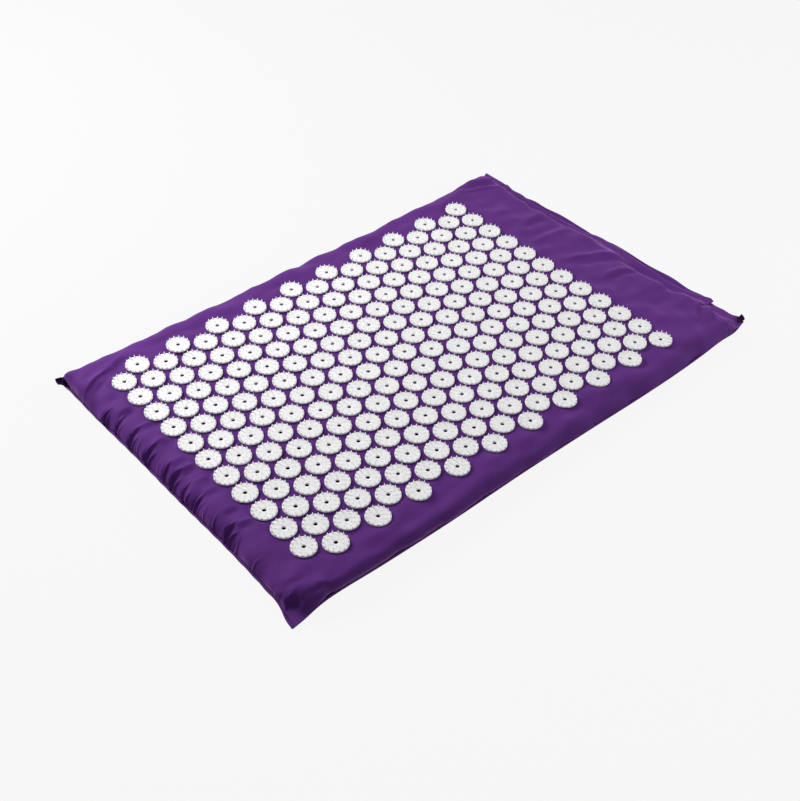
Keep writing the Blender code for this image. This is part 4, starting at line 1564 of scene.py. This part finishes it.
@dataclass
class FoamPad:
    """The foam pad inside the cover, pressed a little at its edges by the cloth."""

    shape: CoverShape
    inset: float = 0.0003
    clearance: float = 0.0020
    edge_lines: int = 8
    length_cells: int = 120
    width_cells: int = 78

    def lines(self, low: float, high: float, cells: int) -> tuple[Array, Array]:
        """Lay out the pad's grid lines in one direction.

        Args:
            low: Where the pad starts.
            high: Where it ends.
            cells: How many cells its flat middle has.

        Returns:
            The lines' places, and each one's share of the rounded edge.
        """
        radius = self.shape.foam_edge_radius
        edge = roll_lines(self.edge_lines, ROUND_POWER)
        middle = np.linspace(low + radius, high - radius, cells)[1:-1]
        places = np.concatenate([low + radius * edge, middle, high - radius * edge[::-1]])
        return places, clamp(np.minimum(places - low, high - places) / radius)

    def build(self, finish: bpy.types.Material) -> None:
        """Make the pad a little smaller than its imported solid.

        Args:
            finish: The foam's material.
        """
        low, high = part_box("foam_core")
        low, high = low + Vector((self.inset,) * 3), high - Vector((self.inset,) * 3)
        places_x, share_x = self.lines(low.x, high.x, self.length_cells)
        places_y, share_y = self.lines(low.y, high.y, self.width_cells)
        x, y = np.meshgrid(places_x, places_y)
        crown = rolled(share_x, ROUND_POWER)[None, :] * rolled(share_y, ROUND_POWER)[:, None]
        middle = (low.z + high.z) / 2
        cover = self.shape.mat_height(x, y)
        cover = cover + np.minimum(self.shape.lift(x, y, cover), 0.0) - self.clearance
        upper = np.minimum(mix(middle, high.z, crown), cover)
        bm = bmesh.new()
        for height, upward in ((upper, True), (mix(middle, low.z, crown), False)):
            half = sheet_mesh("foam_half", np.stack([x, y, height], axis=-1), upward=upward)
            bm.from_mesh(half)
            bpy.data.meshes.remove(half)
        bmesh.ops.remove_doubles(bm, verts=bm.verts, dist=MERGE_DISTANCE)
        bmesh.ops.recalc_face_normals(bm, faces=bm.faces)
        mesh = bpy.data.meshes.new("foam_pad")
        bm.to_mesh(mesh)
        bm.free()
        mesh.shade_smooth()
        piece = add_piece("foam_pad", mesh, finish)
        settle(piece, MAT_BODY, Slot.FOAM, "foam_core")


@dataclass
class Seams:
    """The sewn edges: a flange along the gathered end, narrow bands along the sides, and turned tabs.

    The margins at the seams' ends and the tabs' corners are in millimetres.
    """

    shape: CoverShape
    count: int = 240
    section: int = 10
    thickness: float = 0.0011
    end_margin: float = 6.0
    root_inset: float = 0.0006
    root_drop: float = 0.0012
    flange_rise: float = 0.0002
    ripple: float = 0.0004
    ripple_pitch: float = 0.0195
    ripple_drift: float = 1.7
    drift_rate: float = 23.0
    stitch_share: float = 0.35
    side_margins: tuple[float, float] = (2.0, 1.0)
    side_tuck: float = 0.0012
    side_width: float = 0.0007
    side_drop: float = 0.0015
    side_fall: float = 0.0004
    tab_lines: tuple[int, int] = (13, 9)
    tab_thickness: float = 0.0009
    tab_curl: float = 0.0012
    tab_half_waves: float = 2.2
    far_left_tab: tuple[Place, ...] = ((-314, 204.5, 6.5), (-326, 209, 8), (-327, 202.5, 5),
                                       (-320.5, 195.5, 3.5))
    near_right_tab: tuple[Place, ...] = ((343.5, -190.5, 4.5), (341.5, -197, 2.2), (332, -198.5, 2.2),
                                         (334, -191, 4.5))

    def band(self, name: str, inner: Array, outer: Array, cloth: bpy.types.Material, *nodes: str) -> None:
        """Make one thin closed band between two lines.

        Args:
            name: The piece's name.
            inner: The line where it is sewn on.
            outer: Its free edge.
            cloth: Its material.
            *nodes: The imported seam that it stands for.
        """
        rows = []
        for angle in np.linspace(0.0, math.tau, self.section + 1):
            lift = np.array([0.0, 0.0, 0.5 * math.sin(angle) * self.thickness])
            rows.append(mix(inner, outer, 0.5 + 0.5 * math.cos(angle)) + lift)
        piece = add_piece(name, sheet_mesh(name, np.array(rows)), cloth)
        close_ends(piece)
        settle(piece, MAT_BODY, Slot.CLOTH, *nodes)

    def build(self, cloth: bpy.types.Material, dark: bpy.types.Material, thread: StitchRun) -> None:
        """Make the seams of the gathered end and of the two long sides, and the turned tabs.

        Args:
            cloth: The seams' material.
            dark: The tabs' material, near-black as painted shade.
            thread: What sews a row of stitches along a path.
        """
        shape = self.shape
        table = shape.outline.left
        y = np.linspace(table[0][0], table[-1][0] - self.end_margin, self.count) * MM
        root_height = np.full(len(y), shape.groove_height - self.root_drop)
        root = np.stack([shape.left_line(y) + self.root_inset, y, root_height], axis=-1)
        phase = y * math.tau / self.ripple_pitch + self.ripple_drift * np.sin(y * self.drift_rate)
        height = root_height + self.flange_rise + self.ripple * np.sin(phase)
        edge = np.stack([curve_through(table, y), y, height], axis=-1)
        self.band("end_seam_flange", root, edge, cloth, "end_seam")
        line = mix(root, edge, self.stitch_share) + np.array([0.0, 0.0, 0.5 * self.thickness])
        thread.sew("end_seam_stitches", line, MAT_BODY)
        left, right = self.side_margins
        sides = (("near_side_seam", shape.outline.near, shape.near_line, -1.0),
                 ("far_side_seam", shape.outline.far, shape.far_line, 1.0))
        for name, points, line_at, outward in sides:
            x = np.linspace(points[0][0] + left, points[-1][0] - right, self.count) * MM
            place = line_at(x)
            height = shape.foot(x, place) - self.side_drop
            inner = np.stack([x, place - outward * self.side_tuck, height], axis=-1)
            place = place - outward * (self.side_tuck - self.side_width)
            outer = np.stack([x, place, height - self.side_fall], axis=-1)
            self.band(f"{name}_band", inner, outer, cloth, name)
        # The tabs' near-black cloth is painted shade for the shadow that lies on them.
        self.tab("far_left_tab", self.far_left_tab, dark)
        self.tab("near_right_tab", self.near_right_tab, dark)

    def tab(self, name: str, corners: tuple[Place, ...], cloth: bpy.types.Material) -> None:
        """Make one small turned tab of hem that sticks out at a corner.

        Args:
            name: The tab's name.
            corners: Its four corners, in millimetres.
            cloth: Its material.
        """
        a, b, c, d = (np.array(corner) * MM for corner in corners)
        u, v = np.meshgrid(*(np.linspace(0.0, 1.0, count) for count in self.tab_lines))
        points = mix(mix(a, b, u[..., None]), mix(d, c, u[..., None]), v[..., None])
        points[..., 2] += self.tab_curl * np.sin(math.pi * u) * np.cos(self.tab_half_waves * math.pi * v)
        piece = add_piece(name, sheet_mesh(name, points), cloth)
        thicken(piece, self.tab_thickness)
        settle(piece, MAT_BODY, Slot.LINING)


def close_ends(piece: bpy.types.Object) -> None:
    """Merge a swept band's first and last rows, cap its ends and point its faces outwards.

    Args:
        piece: The band.
    """
    bm = bmesh.new()
    bm.from_mesh(piece.data)
    bmesh.ops.remove_doubles(bm, verts=bm.verts, dist=MERGE_DISTANCE)
    bmesh.ops.holes_fill(bm, edges=[edge for edge in bm.edges if edge.is_boundary], sides=0)
    bmesh.ops.recalc_face_normals(bm, faces=bm.faces)
    bm.to_mesh(piece.data)
    bm.free()
    piece.data.shade_smooth()


@dataclass
class StitchRun:
    """Rows of sewn stitches along a line."""

    finish: bpy.types.Material
    pitch: float = 0.0034
    length: float = 0.0025
    thread: float = 0.00042
    sides: int = 6

    def __post_init__(self) -> None:
        """Build the tree once."""
        self.nodes = self.tree()

    def tree(self) -> bpy.types.NodeTree:
        """Build the tree that lays a short thread at every step of a line.

        Returns:
            The tree.
        """
        inputs = {"Geometry": "NodeSocketGeometry", "Stitch Pitch": "NodeSocketFloat",
                  "Stitch Length": "NodeSocketFloat", "Thread Radius": "NodeSocketFloat",
                  "Finish": "NodeSocketMaterial"}
        tree, sketch, given, result = new_group("stitch run", "GeometryNodeTree", inputs,
                                                {"Geometry": "NodeSocketGeometry"})
        value = given.outputs
        line = sketch.add("GeometryNodeMeshToCurve", {0: value["Geometry"]})
        spaced = sketch.add("GeometryNodeCurveToPoints", {"Curve": line.outputs[0],
                                                          "Length": value["Stitch Pitch"]}, mode="LENGTH")
        thread = sketch.add("GeometryNodeMeshCylinder", {"Vertices": self.sides,
                                                         "Radius": value["Thread Radius"],
                                                         "Depth": value["Stitch Length"]})
        placed = sketch.add("GeometryNodeInstanceOnPoints", {"Points": spaced.outputs["Points"],
                                                             "Instance": thread.outputs["Mesh"],
                                                             "Rotation": spaced.outputs["Rotation"]})
        sketch.fill(result, {0: painted(sketch, placed.outputs[0], value["Finish"])})
        return tree

    def sew(self, name: str, line: Array, body: str) -> None:
        """Sew one row of stitches.

        Args:
            name: The piece's name.
            line: The points that it follows.
            body: The body that it rides on.
        """
        values = {"Stitch Pitch": self.pitch, "Stitch Length": self.length, "Thread Radius": self.thread / 2,
                  "Finish": self.finish}
        piece = run_tree(name, path_mesh(name, line), self.nodes, values)
        piece.data.shade_smooth()
        settle(piece, body, Slot.CLOTH)


class TapeKind(Enum):
    """The two halves of hook and loop tape."""

    HOOK = "hook"
    LOOP = "loop"


@dataclass
class TapePatches:
    """The hook patches under the lip and the loop patches on the bottom cloth."""

    tape: bpy.types.Material
    filament: bpy.types.Material
    pitch: float = 0.0013
    base_share: float = 0.5
    base_bevel: float = 0.00012
    bevel_steps: int = 2
    sharp_degrees: float = 40.0
    arc_radius: float = 0.00032
    arc_steps: int = 6
    filament_radius: float = 0.00008
    filament_sides: int = 3
    hook_degrees: float = 235.0
    loop_degrees: float = 180.0
    hook_turn: float = 0.5
    seed: int = 11

    def tree(self) -> bpy.types.NodeTree:
        """Build the tree that sets a small bent filament on every point.

        Returns:
            The tree.
        """
        inputs = {"Geometry": "NodeSocketGeometry", "Arc Radius": "NodeSocketFloat",
                  "Filament Radius": "NodeSocketFloat", "Sweep": "NodeSocketFloat",
                  "Turn": "NodeSocketFloat", "Flip": "NodeSocketFloat", "Seed": "NodeSocketInt",
                  "Finish": "NodeSocketMaterial"}
        tree, sketch, given, result = new_group("tape filaments", "GeometryNodeTree", inputs,
                                                {"Geometry": "NodeSocketGeometry"})
        value = given.outputs
        arc = sketch.add("GeometryNodeCurveArc", {"Resolution": self.arc_steps, "Radius": value["Arc Radius"],
                                                  "Sweep Angle": value["Sweep"]})
        ring = sketch.add("GeometryNodeCurvePrimitiveCircle", {"Resolution": self.filament_sides,
                                                               "Radius": value["Filament Radius"]})
        wire = sketch.add("GeometryNodeCurveToMesh", {"Curve": arc.outputs[0],
                                                      "Profile Curve": ring.outputs[0], "Fill Caps": True})
        upright = sketch.add("GeometryNodeTransform", {"Geometry": wire.outputs[0],
                                                       "Rotation": (math.pi / 2, 0.0, 0.0)})
        low = sketch.add("ShaderNodeCombineXYZ", {"X": value["Flip"]})
        high = sketch.add("ShaderNodeCombineXYZ", {"X": value["Flip"], "Z": value["Turn"]})
        turn = sketch.add("FunctionNodeRandomValue", {"Min": low.outputs[0], "Max": high.outputs[0],
                                                      "Seed": value["Seed"]}, data_type="FLOAT_VECTOR")
        placed = sketch.add("GeometryNodeInstanceOnPoints", {"Points": value["Geometry"],
                                                             "Instance": upright.outputs[0],
                                                             "Rotation": turn.outputs[0]})
        sketch.fill(result, {0: painted(sketch, placed.outputs[0], value["Finish"])})
        return tree

    def build(self) -> None:
        """Make all six patches."""
        nodes = self.tree()
        for number in range(1, 4):
            self.patch(f"loop_patch_{number}", TapeKind.LOOP, MAT_BODY, nodes)
            self.patch(f"hook_patch_{number}", TapeKind.HOOK, LIP_BODY, nodes)

    def patch(self, node: str, kind: TapeKind, body: str, nodes: bpy.types.NodeTree) -> None:
        """Make one patch: its woven base and the filaments on it.

        Args:
            node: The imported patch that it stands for.
            kind: Which half of the tape it is.
            body: The body that it rides on.
            nodes: The filaments' tree.
        """
        low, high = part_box(node)
        thick = (high.z - low.z) * self.base_share
        hook = kind is TapeKind.HOOK
        base_low, base_high = (high.z - thick, high.z) if hook else (low.z, low.z + thick)
        size = Vector((high.x - low.x, high.y - low.y, base_high - base_low))
        centre = Vector(((low.x + high.x) / 2, (low.y + high.y) / 2, (base_low + base_high) / 2))
        bm = bmesh.new()
        bmesh.ops.create_cube(bm, size=1.0, matrix=Matrix.Translation(centre) @ Matrix.Diagonal((*size, 1.0)))
        bmesh.ops.bevel(bm, geom=bm.edges[:], offset=self.base_bevel, segments=self.bevel_steps,
                        affect="EDGES", profile=0.5)
        mesh = bpy.data.meshes.new(f"{node}_base")
        bm.to_mesh(mesh)
        bm.free()
        layer = mesh.uv_layers.new(name=CUT_MAP)
        for loop in mesh.loops:
            layer.data[loop.index].uv = mesh.vertices[loop.vertex_index].co.xy
        mesh.shade_smooth()
        mesh.set_sharp_from_angle(angle=math.radians(self.sharp_degrees))
        base = add_piece(f"{node}_base", mesh, self.tape)
        settle(base, body, Slot.TAPE, node)
        face = base_low if hook else base_high
        points = [Vector((x, y, face)) for x in np.arange(low.x + self.pitch / 2, high.x, self.pitch)
                  for y in np.arange(low.y + self.pitch / 2, high.y, self.pitch)]
        values = {"Arc Radius": self.arc_radius, "Filament Radius": self.filament_radius,
                  "Sweep": math.radians(self.hook_degrees if hook else self.loop_degrees),
                  "Turn": self.hook_turn if hook else math.tau, "Flip": math.pi if hook else 0.0,
                  "Seed": self.seed, "Finish": self.filament}
        piece = run_tree(f"{node}_{kind.value}s", points_mesh(node, points), nodes, values)
        piece.data.shade_smooth()
        settle(piece, body, Slot.TAPE)


@dataclass(frozen=True)
class SoftBox:
    """One square soft box that looks at the mat's middle."""

    name: str
    place: Place
    size: float
    power: float

    def level(self) -> float:
        """Return how brightly it lights a level white surface at the mat's middle."""
        place = Vector(self.place)
        return self.power * place.z / (math.pi**2 * place.length**3)

    def build(self) -> None:
        """Make the lamp."""
        data = bpy.data.lights.new(self.name, "AREA")
        data.size = self.size
        data.energy = self.power
        lamp = bpy.data.objects.new(self.name, data)
        lamp.location = self.place
        lamp.rotation_euler = Vector(self.place).to_track_quat("Z", "Y").to_euler()
        bpy.context.scene.collection.objects.link(lamp)


@dataclass
class Studio:
    """The camera, the light and the plain pale floor."""

    camera_place: Vector = field(default_factory=lambda: Vector((-0.77783, -0.80250, 0.93673)))
    camera_right: Vector = field(default_factory=lambda: Vector((0.74553, -0.66563, 0.03361)))
    camera_up: Vector = field(default_factory=lambda: Vector((0.42633, 0.51505, 0.74362)))
    focal_pixels: float = 1312.71
    picture_width: float = 800.0
    sensor: float = 36.0
    lamps: tuple[SoftBox, ...] = (SoftBox("soft key", (-0.45, 1.05, 0.83), 0.50, 22.5),
                                  SoftBox("soft fill", (0.95, -0.75, 0.55), 0.60, 7.8))
    sky: float = 0.25
    pale: float = 0.939
    floor_grey: float = 0.30
    shadow_share: float = 0.12
    floor_size: float = 14.0
    floor_drop: float = 0.0009

    def build(self) -> None:
        """Make the whole studio."""
        self.camera()
        for lamp in self.lamps:
            lamp.build()
        self.world()
        self.floor()
        bpy.context.scene.view_settings.view_transform = "Standard"

    def camera(self) -> None:
        """Set the camera where the photograph was taken from."""
        data = bpy.data.cameras.new("photo camera")
        data.sensor_fit = "HORIZONTAL"
        data.sensor_width = self.sensor
        data.lens = self.focal_pixels / self.picture_width * self.sensor
        camera = bpy.data.objects.new("photo camera", data)
        bpy.context.scene.collection.objects.link(camera)
        back = self.camera_right.cross(self.camera_up)
        turn = Matrix((self.camera_right, self.camera_up, back)).transposed()
        camera.matrix_world = Matrix.Translation(self.camera_place) @ turn.to_4x4()
        bpy.context.scene.camera = camera

    def seen_directly(self, sketch: Sketch) -> bpy.types.NodeSocket:
        """Tell rays that show the background from those that light the mat.

        Args:
            sketch: The material's sketch.

        Returns:
            1 for rays that show the background and 0 for the others.
        """
        path = sketch.add("ShaderNodeLightPath")
        glossy = sketch.math("MAXIMUM", path.outputs["Is Camera Ray"], path.outputs["Is Glossy Ray"])
        return sketch.math("MAXIMUM", glossy, path.outputs["Is Transmission Ray"])

    def world(self) -> None:
        """Light the mat evenly from all round, in front of a pale backdrop."""
        world = bpy.data.worlds.new("pale studio")
        world.use_nodes = True
        bpy.context.scene.world = world
        sketch = Sketch(world.node_tree)
        camera_ray = sketch.add("ShaderNodeLightPath").outputs["Is Camera Ray"]
        level = sketch.math("MULTIPLY_ADD", camera_ray, self.pale - self.sky, self.sky)
        sketch.fill(world.node_tree.nodes["Background"], {"Color": WHITE, "Strength": level})

    def floor(self) -> None:
        """Lay a pale floor that keeps a soft share of the mat's shadow."""
        bm = bmesh.new()
        bmesh.ops.create_grid(bm, x_segments=1, y_segments=1, size=self.floor_size / 2,
                              matrix=Matrix.Translation((0, 0, -self.floor_drop)))
        mesh = bpy.data.meshes.new("studio_floor")
        bm.to_mesh(mesh)
        bm.free()
        material, sketch, shader = new_material("pale floor")
        sketch.fill(shader, {"Base Color": (*(self.floor_grey,) * 3, 1.0), "Roughness": 1.0,
                             "Specular IOR Level": 0.0})
        lit = self.floor_grey * (self.sky + sum(lamp.level() for lamp in self.lamps))
        glow_level = (self.pale - self.shadow_share * lit) / (1.0 - self.shadow_share)
        glow = sketch.add("ShaderNodeEmission", {"Color": WHITE, "Strength": glow_level})
        share = sketch.math("MULTIPLY", self.seen_directly(sketch), 1.0 - self.shadow_share)
        blend = sketch.add("ShaderNodeMixShader", {0: share, 1: shader.outputs["BSDF"],
                                                   2: glow.outputs["Emission"]})
        sketch.fill(material.node_tree.nodes["Material Output"], {"Surface": blend.outputs["Shader"]})
        add_piece("studio_floor", mesh, material)


def corners(box: tuple[Vector, Vector]) -> list[list[float]]:
    """Return a box's two corners as plain lists."""
    return [[round(value, 6) for value in corner] for corner in box]


def main() -> None:
    """Build the mat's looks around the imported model."""
    logging.basicConfig(level=logging.INFO, format="%(name)s %(message)s")
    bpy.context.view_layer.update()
    Studio().build()
    effects = Effects()
    shape = CoverShape()
    Cover(shape).build(COVER_CLOTH.build(effects), LINING_CLOTH.build(effects))
    FoamPad(shape).build(FOAM_CELLS.build(effects))
    stitches = StitchRun(SEWING_THREAD.build(effects))
    Seams(shape).build(SEAM_CLOTH.build(effects), TAB_SHADE_CLOTH.build(effects), stitches)
    TapePatches(TAPE_CLOTH.build(effects), HOOK_PLASTIC.build(effects)).build()
    SpikeDiscs().build(DISC_PLASTIC.build(effects), HOLE_SHADE_PLASTIC.build(effects))


if __name__ == "__main__":
    main()
